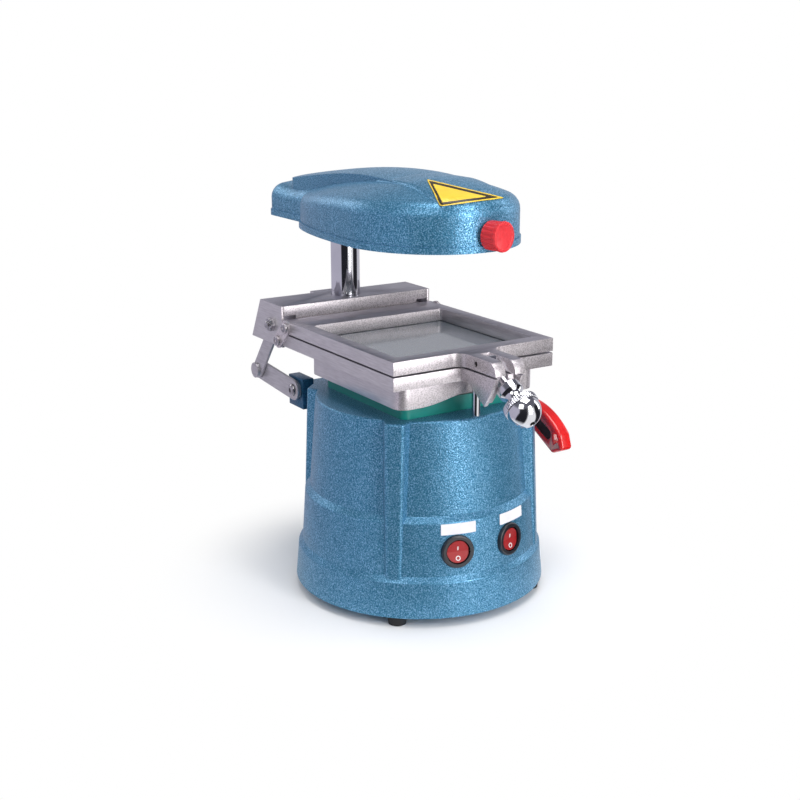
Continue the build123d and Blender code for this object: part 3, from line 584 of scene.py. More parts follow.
def pull_ring(mesh: Mesh, radius: float, where: Matrix, share: Callable[[float], float]) -> None:
    """Pulls those rings of a turned mesh that have one radius into another outline.

    Args:
        mesh: The turned mesh.
        radius: The rings' radius in millimetres.
        where: The matrix that placed the mesh.
        share: Gives the new radius at an angle in radians, as a share of the old one.
    """
    back = where.inverted()
    for vert in mesh.verts:
        local = back @ vert.co
        if abs(math.hypot(local.x, local.y) - radius * MM) < SAME_POINT:
            pull = share(math.atan2(local.y, local.x))
            vert.co = where @ Vector((local.x * pull, local.y * pull, local.z))


def hexagon(angle: float) -> float:
    """Share of a circle's radius at which the hexagon in it stands at an angle in radians."""
    return math.cos(math.radians(30.0)) / math.cos(math.radians(math.degrees(angle) % 60.0 - 30.0))


def flutes(count: int, depth: float, radius: float) -> Callable[[float], float]:
    """Share of a circle's radius at which its flutes of a depth in millimetres stand, by angle."""
    return lambda angle: 1.0 - (0.5 - 0.5 * math.cos(count * angle)) * depth / radius


def rounded_outline(corners: Sequence[Pair], cut: float, steps: int = 4) -> list[Pair]:
    """Rounds the corners of a flat outline.

    Args:
        corners: The outline's corners.
        cut: Length taken off each side at a corner.
        steps: Steps round each corner.

    Returns:
        The outline with rounded corners.
    """
    points = []
    for number, corner in enumerate(corners):
        before, after = corners[number - 1], corners[(number + 1) % len(corners)]
        tip = Vector(corner)
        first, last = (tip + (Vector(other) - tip).normalized() * cut for other in (before, after))
        for step in range(steps + 1):
            share = step / steps
            spot = first.lerp(tip, share).lerp(tip.lerp(last, share), share)
            points.append((spot.x, spot.y))
    return points


def shrunk_triangle(corners: Sequence[Pair], by: float) -> list[Pair]:
    """Moves the sides of a triangle inwards.

    Args:
        corners: Its corners.
        by: The distance each side moves.

    Returns:
        The smaller triangle's corners.
    """
    spots = [Vector(corner) for corner in corners]
    sides = [(spots[k - 1] - spots[(k + 1) % 3]).length for k in range(3)]
    around = sum(sides)
    middle = sum((spot * side for spot, side in zip(spots, sides)), Vector((0.0, 0.0))) / around
    twice_area = abs((spots[1] - spots[0]).cross(spots[2] - spots[0]))
    share = 1.0 - by * around / twice_area
    return [tuple(middle + (spot - middle) * share) for spot in spots]


def laid(mesh: Mesh, drop: Callable[[float, float], tuple[Vector, Vector]], cuts: int,
         gap: float, thickness: float) -> None:
    """Lays a flat mesh on a surface and gives it thickness.

    Args:
        mesh: The flat mesh.
        drop: Gives the surface's point and normal at a flat point.
        cuts: Cuts along each edge before it is laid.
        gap: Distance from the surface in metres.
        thickness: The plate's thickness in metres.
    """
    bmesh.ops.triangulate(mesh, faces=mesh.faces[:])
    if cuts:
        bmesh.ops.subdivide_edges(mesh, edges=mesh.edges[:], cuts=cuts, use_grid_fill=True)
    outwards = Vector()
    for vert in mesh.verts:
        spot, normal = drop(vert.co.x, vert.co.y)
        vert.co = spot + normal * gap
        outwards += normal
    bmesh.ops.recalc_face_normals(mesh, faces=mesh.faces)
    if sum(face.normal.dot(outwards) * face.calc_area() for face in mesh.faces) < 0:
        bmesh.ops.reverse_faces(mesh, faces=mesh.faces)
    bmesh.ops.solidify(mesh, geom=mesh.faces[:], thickness=-thickness)


def box_of(node: str) -> tuple[Vector, Vector, Vector]:
    """Lowest corner, highest corner and middle of a CAD node's box, in metres."""
    low, high = (Vector(corner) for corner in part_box(node))
    return low, high, (low + high) / 2


def joint_of(name: str) -> tuple[Vector, Vector]:
    """Place in metres and axis of a joint of the record."""
    row = next(j for j in FRAME["record"]["behaviour"]["joints"] if j["name"] == name)
    return Vector(row["pos_m"]), Vector(row["axis"]).normalized()


def body_of(node: str) -> Body:
    """Body that carries a CAD node."""
    bodies = FRAME["record"]["behaviour"]["bodies"]
    return Body(next(body for body, nodes in bodies.items() if node in nodes))


@dataclass(frozen=True)
class SoftBox:
    """One soft box that points at the object."""

    name: str
    place: Point
    size: Pair
    watts: float
    target: Point = (0.0, 0.0, 0.18)

    def hang(self) -> None:
        """Hangs it in the scene."""
        data = bpy.data.lights.new(self.name, "AREA")
        data.shape = "RECTANGLE"
        data.size, data.size_y = self.size
        data.energy = self.watts
        place = Vector(self.place)
        linked(self.name, data).matrix_world = frame_at(place, place - Vector(self.target))


@dataclass(frozen=True)
class Studio:
    """Camera, floor, lights and the room that bright metal shows."""

    camera_place: Point = (-0.5378, -0.8225, 0.4269)
    yaw: float = 0.5638
    pitch: float = -0.2765
    roll: float = 0.0026
    lens: float = 58.68
    sensor: float = 36.0
    clip: Pair = (0.05, 20.0)
    frame_pixels: float = 800.0
    floor_size: float = 6.0
    floor_colour: Colour = (0.95, 0.95, 0.96)
    floor_roughness: float = 0.9
    world_colour: Colour = (0.93, 0.95, 1.0)
    world_strength: float = 0.4
    shadow_reach: Pair = (0.1, 0.23)
    soft_boxes: Sequence[SoftBox] = (
        SoftBox("front_box", (0.2, -1.3, 0.5), (0.4, 1.2), 11.0),
        SoftBox("key_box", (-1.0, -0.7, 1.2), (0.8, 0.8), 4.5),
        SoftBox("top_box", (0.1, -0.2, 1.5), (0.9, 0.9), 11.0),
        SoftBox("right_box", (1.3, -0.3, 0.6), (0.4, 0.9), 2.5),
        SoftBox("back_box", (-0.5, 1.2, 0.9), (1.0, 0.6), 3.0),
    )
    walls: Sequence[tuple[float, Colour]] = (
        (0.0, LAVENDER), (0.062, LAVENDER), (0.075, DARK), (0.215, DARK), (0.232, WHITE), (0.345, WHITE),
        (0.36, DARK), (0.47, DARK), (0.485, GREY), (0.67, GREY), (0.72, LAVENDER), (1.0, LAVENDER),
    )
    roof_rise: Pair = (0.35, 0.6)
    roof_colour: Colour = (0.14, 0.14, 0.17)

    def turn(self) -> Matrix:
        """Works out how the camera is turned.

        Returns:
            The turn.
        """
        forward = Vector((
            math.sin(self.yaw) * math.cos(self.pitch), math.cos(self.yaw) * math.cos(self.pitch),
            math.sin(self.pitch),
        ))
        return forward.to_track_quat("-Z", "Y").to_matrix().to_4x4() @ Matrix.Rotation(-self.roll, 4, "Z")

    def pixel_ray(self, u: float, v: float) -> tuple[Vector, Vector]:
        """Line of sight through a pixel of the photograph.

        Args:
            u: Pixels from the left.
            v: Pixels from the top.

        Returns:
            The camera's place and the direction.
        """
        half = self.frame_pixels / 2
        spread = self.sensor / 2 / self.lens / half
        ray = Vector(((u - half) * spread, (half - v) * spread, -1.0))
        return Vector(self.camera_place), (self.turn().to_3x3() @ ray).normalized()

    def camera(self) -> None:
        """Puts the camera where the photograph was taken from."""
        data = bpy.data.cameras.new("photo_camera")
        data.sensor_width = self.sensor
        data.lens = self.lens
        data.clip_start, data.clip_end = self.clip
        obj = linked("photo_camera", data)
        obj.matrix_world = Matrix.Translation(self.camera_place) @ self.turn()
        bpy.context.scene.camera = obj

    @staticmethod
    def rays(tree: Tree, *kinds: str) -> Socket:
        """Adds a value that is 1 on the given kinds of ray.

        Args:
            tree: The node tree.
            *kinds: The kinds, by the light path's output.

        Returns:
            The value.
        """
        any_kind, *others = (tree.add("ShaderNodeLightPath", kind, {}) for kind in kinds)
        for other in others:
            any_kind = tree.add("ShaderNodeMath", "Value", {0: any_kind, 1: other}, operation="MAXIMUM")
        return any_kind

    @staticmethod
    def faded(tree: Tree, value: Socket, reach: Pair) -> Socket:
        """Adds a soft rise from 0 to 1 while a value goes through a reach."""
        inputs = {"Value": value, "From Min": reach[0], "From Max": reach[1]}
        return tree.add("ShaderNodeMapRange", "Result", inputs, interpolation_type="SMOOTHSTEP")

    def room_walls(self, tree: Tree, where: Socket) -> Socket:
        """Adds the room that bright metal shows: pale and dark walls by compass direction.

        Args:
            tree: The node tree.
            where: The direction or place that is looked at.

        Returns:
            The room's colour.
        """
        axes = tree.add("ShaderNodeSeparateXYZ", "X", {"Vector": where}).node.outputs
        compass = tree.add("ShaderNodeMath", "Value", {0: axes["Y"], 1: axes["X"]}, operation="ARCTAN2")
        inputs = {"Value": compass, "From Min": -math.pi, "From Max": math.pi}
        share = tree.add("ShaderNodeMapRange", "Result", inputs)
        inputs = {
            "Factor": self.faded(tree, axes["Z"], self.roof_rise),
            "A": tree.ramp(share, *self.walls), "B": (*self.roof_colour, 1.0),
        }
        return tree.add("ShaderNodeMix", "Result", inputs, data_type="RGBA")

    def floor(self) -> None:
        """Lays a pale floor that shows as white background and keeps the shadow."""
        mesh = bmesh.new()
        bmesh.ops.create_grid(mesh, x_segments=1, y_segments=1, size=self.floor_size)
        obj = meshed("floor", mesh)
        recipe = Recipe("pale_floor")
        recipe.set(Base_Color=(*self.floor_colour, 1.0), Roughness=self.floor_roughness)
        place = recipe.place
        inputs = {
            "Factor": self.rays(recipe, "Is Glossy Ray"),
            "A": OPAQUE_WHITE, "B": self.room_walls(recipe, place),
        }
        backdrop = recipe.add("ShaderNodeMix", "Result", inputs, data_type="RGBA")
        shine = recipe.add("ShaderNodeEmission", "Emission", {"Color": backdrop})
        reach = recipe.add("ShaderNodeVectorMath", "Value", {0: place}, operation="LENGTH")
        inputs = {
            0: self.rays(recipe, "Is Camera Ray", "Is Glossy Ray", "Is Transmission Ray"),
            1: self.faded(recipe, reach, self.shadow_reach),
        }
        seen = recipe.add("ShaderNodeMath", "Value", inputs, operation="MULTIPLY")
        inputs = {"Fac": seen, 1: recipe.shader.outputs["BSDF"], 2: shine}
        surface = recipe.add("ShaderNodeMixShader", "Shader", inputs)
        recipe.links.new(surface, recipe.nodes["Material Output"].inputs["Surface"])
        dress(obj, recipe.material)

    def surroundings(self) -> None:
        """Sets the world: even light, white to the camera, and a room with dark walls in reflections."""
        world = bpy.data.worlds.new("studio_world")
        bpy.context.scene.world = world
        world.use_nodes = True
        tree = Tree(world.node_tree)
        even = tree.nodes["Background"]
        even.inputs["Color"].default_value = (*self.world_colour, 1.0)
        even.inputs["Strength"].default_value = self.world_strength
        place = tree.add("ShaderNodeTexCoord", "Generated", {})
        room = tree.add("ShaderNodeBackground", "Background", {"Color": self.room_walls(tree, place)})
        white = tree.add("ShaderNodeBackground", "Background", {"Color": OPAQUE_WHITE})
        inputs = {"Fac": self.rays(tree, "Is Glossy Ray"), 1: even.outputs["Background"], 2: room}
        lit = tree.add("ShaderNodeMixShader", "Shader", inputs)
        inputs = {"Fac": self.rays(tree, "Is Camera Ray", "Is Transmission Ray"), 1: lit, 2: white}
        surface = tree.add("ShaderNodeMixShader", "Shader", inputs)
        tree.links.new(surface, tree.nodes["World Output"].inputs["Surface"])

    def build(self) -> None:
        """Sets the whole studio."""
        self.camera()
        self.floor()
        for soft_box in self.soft_boxes:
            soft_box.hang()
        self.surroundings()
        bpy.context.scene.view_settings.view_transform = "Standard"


@dataclass
class SubAssembly:
    """What every sub-assembly is built from: the CAD nodes by name, and the finishes."""

    nodes: dict[str, Object]
    finishes: Finishes


class NodeDresser(SubAssembly):
    """Gives every CAD node that stays in sight its finish."""

    def build(self) -> None:
        """Puts a finish on each node by its slot."""
        f = self.finishes
        by_slot = {
            Slot.ENAMEL: f.enamel, Slot.STEEL: f.steel, Slot.CAST: f.blasted, Slot.CHROME: f.chrome,
            Slot.RUBBER: f.rubber, Slot.TEAL: f.teal, Slot.BLACK: f.black, Slot.RED: f.red,
            Slot.SHEET: f.sheet, Slot.ELEMENT: f.element,
        }
        for row in FRAME["record"]["subparts"]:
            dress(self.nodes[row["node"]], by_slot[Slot(row["material_slot"])])
        dress(self.nodes["latch_pin"], f.dark_steel)
        dress(self.nodes["platform"], f.blasted)
        for side in ("left", "right"):
            dress(self.nodes[f"rocker_{side}"], f.rocker_red)


@dataclass
class MachinedMetal(SubAssembly):
    """Frames, plates and links: their edges are broken, each side has its own finish, and faces that look
    up get a darker tone that is painted shade.
    """

    frame_edge: float = 0.0004
    plate_edge: float = 0.0003
    boss_front: float = -0.0756
    frame_nodes: Sequence[str] = (
        "lower_frame", "upper_frame", "carriage_block", "collar", "cheek_left", "cheek_right",
    )
    plate_nodes: Sequence[str] = (
        "link_upper_left", "link_upper_right", "link_lower_left", "link_lower_right", "lever_arm",
    )
    block_nodes: Sequence[str] = ("pivot_block_left", "pivot_block_right")

    def side_of(self, face: bmesh.types.BMFace) -> int:
        """Tells which side of a frame a face belongs to.

        Args:
            face: The face.

        Returns:
            Its finish number: 0 satin side, 1 blasted front, 2 top, with real machining lines and a
                darker tone that is painted shade.
        """
        # Faces that look up take the darker top finish: painted shade.
        if face.normal.z > 0.9:
            return 2
        return int(face.normal.y < -0.35 or face.calc_center_median().y < self.boss_front)

    def build(self) -> None:
        """Builds the copies that stand for the nodes."""
        f = self.finishes
        frame_looks_with_shaded_top = (f.satin, f.blasted, f.milled_top_painted_shade)
        for node in self.frame_nodes:
            mesh = broken_copy(self.nodes[node], self.frame_edge)
            for face in mesh.faces:
                face.material_index = self.side_of(face)
            as_piece(f"{node}_machined", mesh, body_of(node), frame_looks_with_shaded_top, [node])
        for node in self.plate_nodes:
            mesh = broken_copy(self.nodes[node], self.plate_edge)
            as_piece(f"{node}_machined", mesh, body_of(node), (f.steel,), [node])
        for node in self.block_nodes:
            mesh = broken_copy(self.nodes[node], self.frame_edge)
            as_piece(f"{node}_painted", mesh, body_of(node), (f.dark_enamel,), [node])


@dataclass
class BaseTrim(SubAssembly):
    """What the base carries: the column, the stop pin and the two bare plates over the switches."""

    column_edge: float = 1.0
    pin_edge: float = 0.6
    rod_steps: int = 96
    band_radius: float = 90.6
    band_top: float = 79.0
    band_slope: float = 0.0667
    plate_heights: Pair = (70.2, 78.5)
    plate_corner: float = 0.5
    plate_cuts: int = 7
    plate_gap: float = 0.00005
    plate_thickness: float = 0.0004
    plate_turns: Sequence[Pair] = ((-23.0, -5.8), (8.3, 25.5))

    def rod(self, node: str, edge: float) -> Mesh:
        """Round rod in the place of a node, with a broken upper edge.

        Args:
            node: The CAD node.
            edge: Width of the broken edge in millimetres.

        Returns:
            The rod.
        """
        low, high, middle = box_of(node)
        radius, height = (high.x - low.x) / 2 / MM, (high.z - low.z) / MM
        profile = ((0, 0), (radius, 0), (radius, height - edge), (radius - edge, height), (0, height))
        return spun(profile, Matrix.Translation((middle.x, middle.y, low.z)), self.rod_steps)

    def on_band(self, turn: float, z: float) -> tuple[Vector, Vector]:
        """Follows the band of the base.

        Args:
            turn: Degrees round the base from the front.
            z: Height in millimetres.

        Returns:
            The band's point and normal.
        """
        around = math.radians(turn)
        out = Vector((math.sin(around), -math.cos(around), 0.0))
        radius = self.band_radius + (self.band_top - z) * self.band_slope
        spot = out * radius * MM + Vector((0, 0, z * MM))
        return spot, (out + Vector((0, 0, self.band_slope))).normalized()

    def bare_plate(self, start: float, end: float) -> Mesh:
        """Bare plate bent round the band of the base.

        Args:
            start: Its left side in degrees round the base from the front.
            end: Its right side.

        Returns:
            The plate.
        """
        mesh = bmesh.new()
        low, high = self.plate_heights
        corners = [(start, low), (end, low), (end, high), (start, high)]
        outline = rounded_outline(corners, self.plate_corner)
        mesh.faces.new([mesh.verts.new((turn, z, 0.0)) for turn, z in outline])
        laid(mesh, self.on_band, self.plate_cuts, self.plate_gap, self.plate_thickness)
        return mesh

    def build(self) -> None:
        """Builds the pieces."""
        bright, white = (self.finishes.chrome,), (self.finishes.white_plate,)
        column, pin = self.rod("column", self.column_edge), self.rod("stop_pin", self.pin_edge)
        as_piece("column_rod", column, Body.BASE, bright, ["column"])
        as_piece("stop_rod", pin, Body.BASE, bright, ["stop_pin"])
        for side, turns in zip(("left", "right"), self.plate_turns):
            as_piece(f"bare_plate_{side}", self.bare_plate(*turns), Body.BASE, white)


@dataclass
class Fasteners(SubAssembly):
    """Bolts, nuts and screws of the linkage and the frame hinge, in millimetres."""

    frame_side: float = 71.0
    ear_face: float = 73.2
    ear_places: Sequence[Pair] = ((84.0, 198.7), (97.0, 186.0))
    socket_radius: float = 1.9
    head_radius: float = 5.0
    head_height: float = 2.2
    shank_radius: float = 3.0
    nut_radius: float = 5.8
    nut_height: float = 4.0
    bolt_end: Pair = (2.9, 6.0)
    screw_radius: float = 4.25
    screw_height: float = 2.4
    steps: int = 48

    def turned(self, name: str, profile: Sequence[Pair], where: Matrix, flat: float, body: Body,
               replaced: Sequence[str] = ()) -> None:
        """Makes one fastener.

        Args:
            name: The piece's name.
            profile: Points of radius and height in millimetres.
            where: Places the fastener, with local Z outwards.
            flat: Radius of the ring that is pulled into a hexagon.
            body: The body it rides on.
            replaced: The CAD node that it stands for, if any.
        """
        mesh = spun(profile, where, self.steps)
        pull_ring(mesh, flat, where, hexagon)
        as_piece(name, mesh, body, (self.finishes.bolt,), replaced)

    def pivot_bolt(self) -> None:
        """Bolt of the left lever pivot, with its shank."""
        low, high, middle = box_of("pivot_bolt")
        top = (high.x - low.x) / MM
        seat = top - self.head_height
        head, shank, socket = self.head_radius, self.shank_radius, self.socket_radius
        profile = (
            (0, 0), (shank, 0), (shank, seat), (head, seat), (head, seat + 0.6), (0.9 * head, seat + 1.4),
            (0.7 * head, seat + 2.0), (socket + 0.5, top), (socket, top), (socket, seat + 0.7),
            (0, seat + 0.6),
        )
        where = frame_at(Vector((high.x, middle.y, middle.z)), Vector((-1, 0, 0)))
        self.turned("pivot_bolt_turned", profile, where, socket, Body.BASE, ["pivot_bolt"])

    def carriage_nut(self, side: str, sign: int) -> None:
        """Nut and bolt end on one cheek.

        Args:
            side: The machine's side.
            sign: Which way outwards is along X.
        """
        node = f"carriage_bolt_{side}"
        low, high, middle = box_of(node)
        inner = high.x if sign < 0 else low.x
        seat = self.frame_side - abs(inner) / MM
        shank, nut, face = self.shank_radius, self.nut_radius, seat + self.nut_height
        end, reach = self.bolt_end
        profile = (
            (0, 0), (shank, 0), (shank, seat), (nut, seat), (nut, face - 0.6), (4.9, face), (3.3, face),
            (end, face + 0.2), (end, seat + reach - 0.5), (end - 0.5, seat + reach), (0, seat + reach),
        )
        where = frame_at(Vector((inner, middle.y, middle.z)), Vector((sign, 0, 0)))
        self.turned(f"{node}_turned", profile, where, nut, Body.CARRIAGE, [node])

    def ear_screws(self, side: str, sign: int) -> None:
        """Domed screw heads with six-sided sockets on one ear link.

        Args:
            side: The machine's side.
            sign: Which way outwards is along X.
        """
        radius, height = self.screw_radius, self.screw_height
        socket = self.socket_radius * radius / self.head_radius
        profile = (
            (0, 0), (radius, 0), (radius, 0.25 * height), (0.93 * radius, 0.6 * height),
            (0.72 * radius, 0.9 * height), (1.25 * socket, height), (socket, height),
            (socket, 0.35 * height), (0, 0.3 * height),
        )
        for number, (y, z) in enumerate(self.ear_places, 1):
            where = frame_at(Vector((sign * self.ear_face, y, z)) * MM, Vector((sign, 0, 0)))
            self.turned(f"ear_screw_{side}_{number}", profile, where, socket, Body.CARRIAGE)

    def build(self) -> None:
        """Builds all fasteners."""
        self.pivot_bolt()
        for make in (self.carriage_nut, self.ear_screws):
            make("left", -1)
            make("right", 1)


@dataclass
class ClampKnob(SubAssembly):
    """Chrome ball knob with its knurled rim, in millimetres along the swing bolt."""

    bore_radius: float = 3.55
    bore_end: float = 41.3
    collar_start: float = 25.4
    collar_end: float = 31.5
    collar_radius: float = 9.0
    neck_radius: float = 7.1
    neck_waist: float = 0.7
    neck_reach: Pair = (33.0, 6.5)
    rim_radius: float = 13.2
    rim_reach: Pair = (41.6, 45.6)
    knurl_count: int = 48
    knurl_depth: float = 0.5
    ball_radius: float = 12.4
    ball_centre: float = 48.0
    ball_turns: Pair = (-9.3, 80.5)
    hole_radius: float = 1.9
    hole_edge: float = 60.1
    hole_end: float = 57.3
    hole_start: float = 57.0
    neck_steps: int = 8
    ball_steps: int = 24
    steps: int = 192

    def profile(self) -> list[Pair]:
        """Draws the knob's outline, from its bore round to the hole in its end.

        Returns:
            Points of radius and height in millimetres.
        """
        bore, collar, hole = self.bore_radius, self.collar_radius, self.hole_radius
        rim_start, rim_end = self.rim_reach
        points = [
            (0.0, self.bore_end), (bore, self.bore_end), (bore, self.collar_start),
            (collar - 0.4, self.collar_start), (collar, self.collar_start + 0.4),
            (collar, self.collar_end - 0.4), (collar - 0.3, self.collar_end),
        ]
        start, length = self.neck_reach
        for step in range(self.neck_steps + 1):
            waist = self.neck_waist * math.sin(math.pi * step / self.neck_steps)
            points.append((self.neck_radius - waist, start + length * step / self.neck_steps))
        points += [
            (10.2, rim_start - 1.0), (12.9, rim_start - 0.4), (self.rim_radius, rim_start),
            (self.rim_radius, rim_end), (12.7, rim_end + 0.4), (12.3, rim_end + 0.4),
        ]
        first, last = self.ball_turns
        for step in range(1, self.ball_steps + 1):
            turn = math.radians(first + (last - first) * step / self.ball_steps)
            radius = self.ball_radius
            points.append((radius * math.cos(turn), self.ball_centre + radius * math.sin(turn)))
        return points + [(hole, self.hole_edge), (hole, self.hole_end), (0.0, self.hole_end)]

    def build(self) -> None:
        """Builds the knob."""
        where = frame_at(*joint_of("knob_turn"))
        mesh = spun(self.profile(), where, self.steps)
        knurls = flutes(self.knurl_count, self.knurl_depth, self.rim_radius)
        pull_ring(mesh, self.rim_radius, where, knurls)
        back = where.inverted()
        for face in mesh.faces:
            local = back @ face.calc_center_median() / MM
            in_hole = local.z > self.hole_start and math.hypot(local.x, local.y) < self.hole_radius
            face.material_index = int(in_hole)
        looks = (self.finishes.chrome, self.finishes.dark_steel)
        as_piece("ball_knob_chromed", mesh, Body.BALL_KNOB, looks, ["ball_knob"])


@dataclass
class HeadTrim(SubAssembly):
    """What the heater head carries: the control knob, the crown's ridge and a bare yellow plate."""

    studio: Studio = Studio()
    knob_place: Point = (3.6, -85.0, 288.1)
    knob_turn: float = 14.0
    knob_length: float = 13.5
    knob_side: float = 10.5
    knob_rim: float = 11.0
    knob_steps: int = 144
    flute_count: int = 18
    side_flute_depth: float = 0.7
    rim_flute_depth: float = 0.35
    plate_pixels: Sequence[Pair] = ((426.8, 180.0), (503.6, 198.3), (440.7, 206.3))
    corner_pixels: float = 1.8
    rim_pixels: float = 0.9
    band_pixels: float = 2.2
    plate_gap: float = 0.0003
    plate_cuts: int = 5
    plate_thickness: float = 0.0004
    ridge_grid: tuple[int, int] = (48, 64)
    ridge_half_width: float = 31.0
    ridge_front: float = -84.0
    ridge_back: float = 12.0
    ridge_lowest: float = 303.0
    ridge_drop: float = 8.0
    ridge_slope: float = 2.5
    ridge_fade: float = 42.0
    ridge_height: float = 2.8
    ridge_sink: float = 0.9
    above_head: float = 0.4

    def knob(self) -> None:
        """Red knob with flutes round its side and a dished face."""
        turn = math.radians(self.knob_turn)
        where = frame_at(Vector(self.knob_place) * MM, Vector((math.sin(turn), -math.cos(turn), 0)))
        top, side, rim = self.knob_length, self.knob_side, self.knob_rim
        profile = (
            (0, 0), (side - 0.3, 0), (side, 0.4), (side, top - 4.2), (side - 0.35, top - 3.7),
            (side - 0.1, top - 3.3), (rim - 0.3, top - 3.1), (rim, top - 2.8), (rim, top - 0.9),
            (rim - 0.35, top - 0.2), (rim - 0.9, top), (rim - 1.5, top), (rim - 1.9, top - 0.5),
            (rim - 2.3, top - 0.7), (0, top - 0.5),
        )
        mesh = spun(profile, where, self.knob_steps)
        for radius, depth in ((side, self.side_flute_depth), (rim, self.rim_flute_depth)):
            pull_ring(mesh, radius, where, flutes(self.flute_count, depth, radius))
        looks = (self.finishes.red_matt,)
        as_piece("heater_knob_fluted", mesh, Body.HEATER_HEAD, looks, ["heater_knob"])

    def ridge(self) -> None:
        """Carries the raised ridge of the crown on to the front."""
        mesh = bmesh.new()
        across, along = self.ridge_grid
        bmesh.ops.create_grid(mesh, x_segments=across, y_segments=along, size=0.5)
        tree = BVHTree.FromBMesh(merged_copy(self.nodes["heater_housing"]))
        half, front, back = self.ridge_half_width, self.ridge_front, self.ridge_back
        missed = []
        for vert in mesh.verts:
            x, y = 2 * half * vert.co.x, front + (back - front) * (vert.co.y + 0.5)
            start = Vector((x * MM, y * MM, self.above_head))
            spot, normal, _, _ = tree.ray_cast(start, Vector((0, 0, -1)))
            if spot is None or spot.z < self.ridge_lowest * MM:
                missed.append(vert)
                continue
            shares = (
                (half - abs(x)) / self.ridge_slope, (back - y) / self.ridge_fade,
                (spot.z / MM - self.ridge_lowest) / self.ridge_drop,
            )
            shares = (max(0.0, min(1.0, share)) for share in shares)
            rise = math.prod(share * share * (3 - 2 * share) for share in shares)
            vert.co = spot + normal * (self.ridge_height * rise - self.ridge_sink) * MM
        bmesh.ops.delete(mesh, geom=missed, context="VERTS")
        bmesh.ops.solidify(mesh, geom=mesh.faces[:], thickness=self.plate_thickness)
        as_piece("crown_ridge", mesh, Body.HEATER_HEAD, (self.finishes.enamel,), (), 60.0)

    def plate(self) -> None:
        """Bare yellow plate with a dark band, laid on the crown."""
        mesh = bmesh.new()
        rings = []
        for shrink in (0.0, self.rim_pixels, self.rim_pixels + self.band_pixels):
            outline = rounded_outline(shrunk_triangle(self.plate_pixels, shrink), self.corner_pixels)
            rings.append([mesh.verts.new((u, v, 0.0)) for u, v in outline])
        for number, (outer, inner) in enumerate(zip(rings, rings[1:])):
            for k, vert in enumerate(outer):
                face = mesh.faces.new((outer[k - 1], vert, inner[k], inner[k - 1]))
                face.material_index = number
        mesh.faces.new(rings[-1])
        under = merged_copy(self.nodes["heater_housing"])
        under.from_mesh(bpy.data.objects["crown_ridge"].data)
        tree = BVHTree.FromBMesh(under)
        laid(
            mesh, lambda u, v: tree.ray_cast(*self.studio.pixel_ray(u, v))[:2],
            self.plate_cuts, self.plate_gap, self.plate_thickness,
        )
        looks = (self.finishes.yellow_plate, self.finishes.dark_band)
        as_piece("bare_plate_head", mesh, Body.HEATER_HEAD, looks)

    def build(self) -> None:
        """Builds the pieces."""
        self.knob()
        self.ridge()
        self.plate()


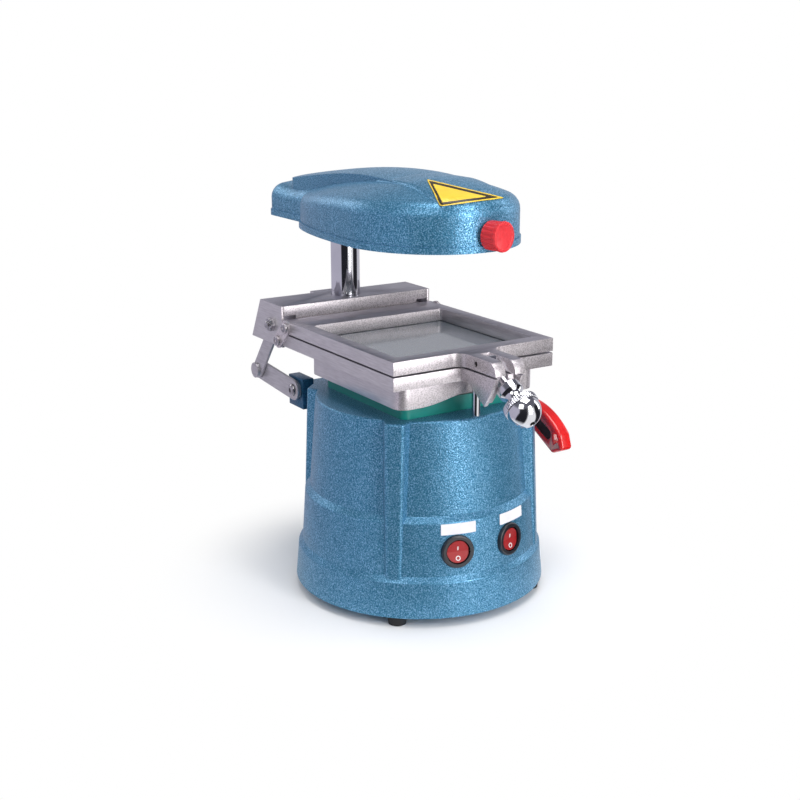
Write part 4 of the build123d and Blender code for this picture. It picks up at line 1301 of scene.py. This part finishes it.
@dataclass
class RockerMarks(SubAssembly):
    """White I and O on each rocker."""

    slope: float = 0.0667
    stand_off: float = 0.01
    bar_place: float = 2.6
    bar_size: Pair = (0.9, 3.0)
    ring_place: float = -5.0
    ring_radii: Pair = (1.9, 1.2)
    ring_steps: int = 32
    gap: float = 0.00003
    thickness: float = 0.00015

    def bar(self) -> Mesh:
        """Draws the I.

        Returns:
            A flat bar.
        """
        width, length = self.bar_size
        low, high = self.bar_place - length / 2, self.bar_place + length / 2
        corners = [(-width / 2, low), (width / 2, low), (width / 2, high), (-width / 2, high)]
        mesh = bmesh.new()
        mesh.faces.new([mesh.verts.new((x, y, 0.0)) for x, y in rounded_outline(corners, 0.2 * width)])
        return mesh

    def ring(self) -> Mesh:
        """Draws the O.

        Returns:
            A flat ring.
        """
        mesh = bmesh.new()
        ends = [mesh.verts.new((radius, self.ring_place, 0.0)) for radius in self.ring_radii]
        bmesh.ops.spin(
            mesh, geom=[*ends, mesh.edges.new(ends)], cent=(0, self.ring_place, 0), axis=(0, 0, 1),
            angle=2 * math.pi, steps=self.ring_steps, use_merge=True,
        )
        return mesh

    def build(self) -> None:
        """Builds the marks."""
        for side, body in (("left", Body.ROCKER_LEFT), ("right", Body.ROCKER_RIGHT)):
            place, across = joint_of(f"rocker_{side}_tilt")
            out = Vector((across.y, -across.x, self.slope)).normalized()
            up = out.cross(across)
            tree = BVHTree.FromBMesh(merged_copy(self.nodes[f"rocker_{side}"]))

            def drop(x: float, y: float) -> tuple[Vector, Vector]:
                """Point and normal on the rocker under a flat point in millimetres."""
                start = place + (across * x + up * y) * MM + out * self.stand_off
                return tree.ray_cast(start, -out)[:2]

            for name, mesh in (("on_mark", self.bar()), ("off_mark", self.ring())):
                laid(mesh, drop, 0, self.gap, self.thickness)
                as_piece(f"{name}_{side}", mesh, body, (self.finishes.white_mark,))


@dataclass
class Grip(SubAssembly):
    """Red grip; the floor of its recessed slot is painted dark as shade."""

    edge: float = 0.0006
    recess_centre: Pair = (-0.0225, 0.115)
    recess_reach: Pair = (0.0165, 0.0075)
    recess_turn: float = 26.0
    recess_depths: Pair = (0.1042, 0.1062)

    def build(self) -> None:
        """Builds the copy that stands for the grip."""
        mesh = broken_copy(self.nodes["red_grip"], self.edge, 55.0)
        turn = math.radians(self.recess_turn)
        for face in mesh.faces:
            spot = face.calc_center_median()
            across, up = spot.y - self.recess_centre[0], spot.z - self.recess_centre[1]
            along = across * math.cos(turn) + up * math.sin(turn)
            aside = up * math.cos(turn) - across * math.sin(turn)
            inside = abs(along) < self.recess_reach[0] and abs(aside) < self.recess_reach[1]
            # Faces on the floor of the recessed slot take the dark red: painted shade.
            face.material_index = int(inside and self.recess_depths[0] < spot.x < self.recess_depths[1])
        looks = (self.finishes.red, self.finishes.painted_recess_shade)
        as_piece("red_grip_moulded", mesh, body_of("red_grip"), looks, ["red_grip"], 50.0)


FRAME: dict = {}


def main() -> None:
    """Builds the whole scene."""
    logging.basicConfig(level=logging.INFO, format="%(name)s: %(message)s")
    FRAME.update(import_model())
    finishes = Finishes()
    for part in (
        NodeDresser, MachinedMetal, BaseTrim, Fasteners, ClampKnob, HeadTrim, RockerMarks, Grip,
    ):
        part(FRAME["nodes"], finishes).build()
    Studio().build()


if __name__ == "__main__":
    main()
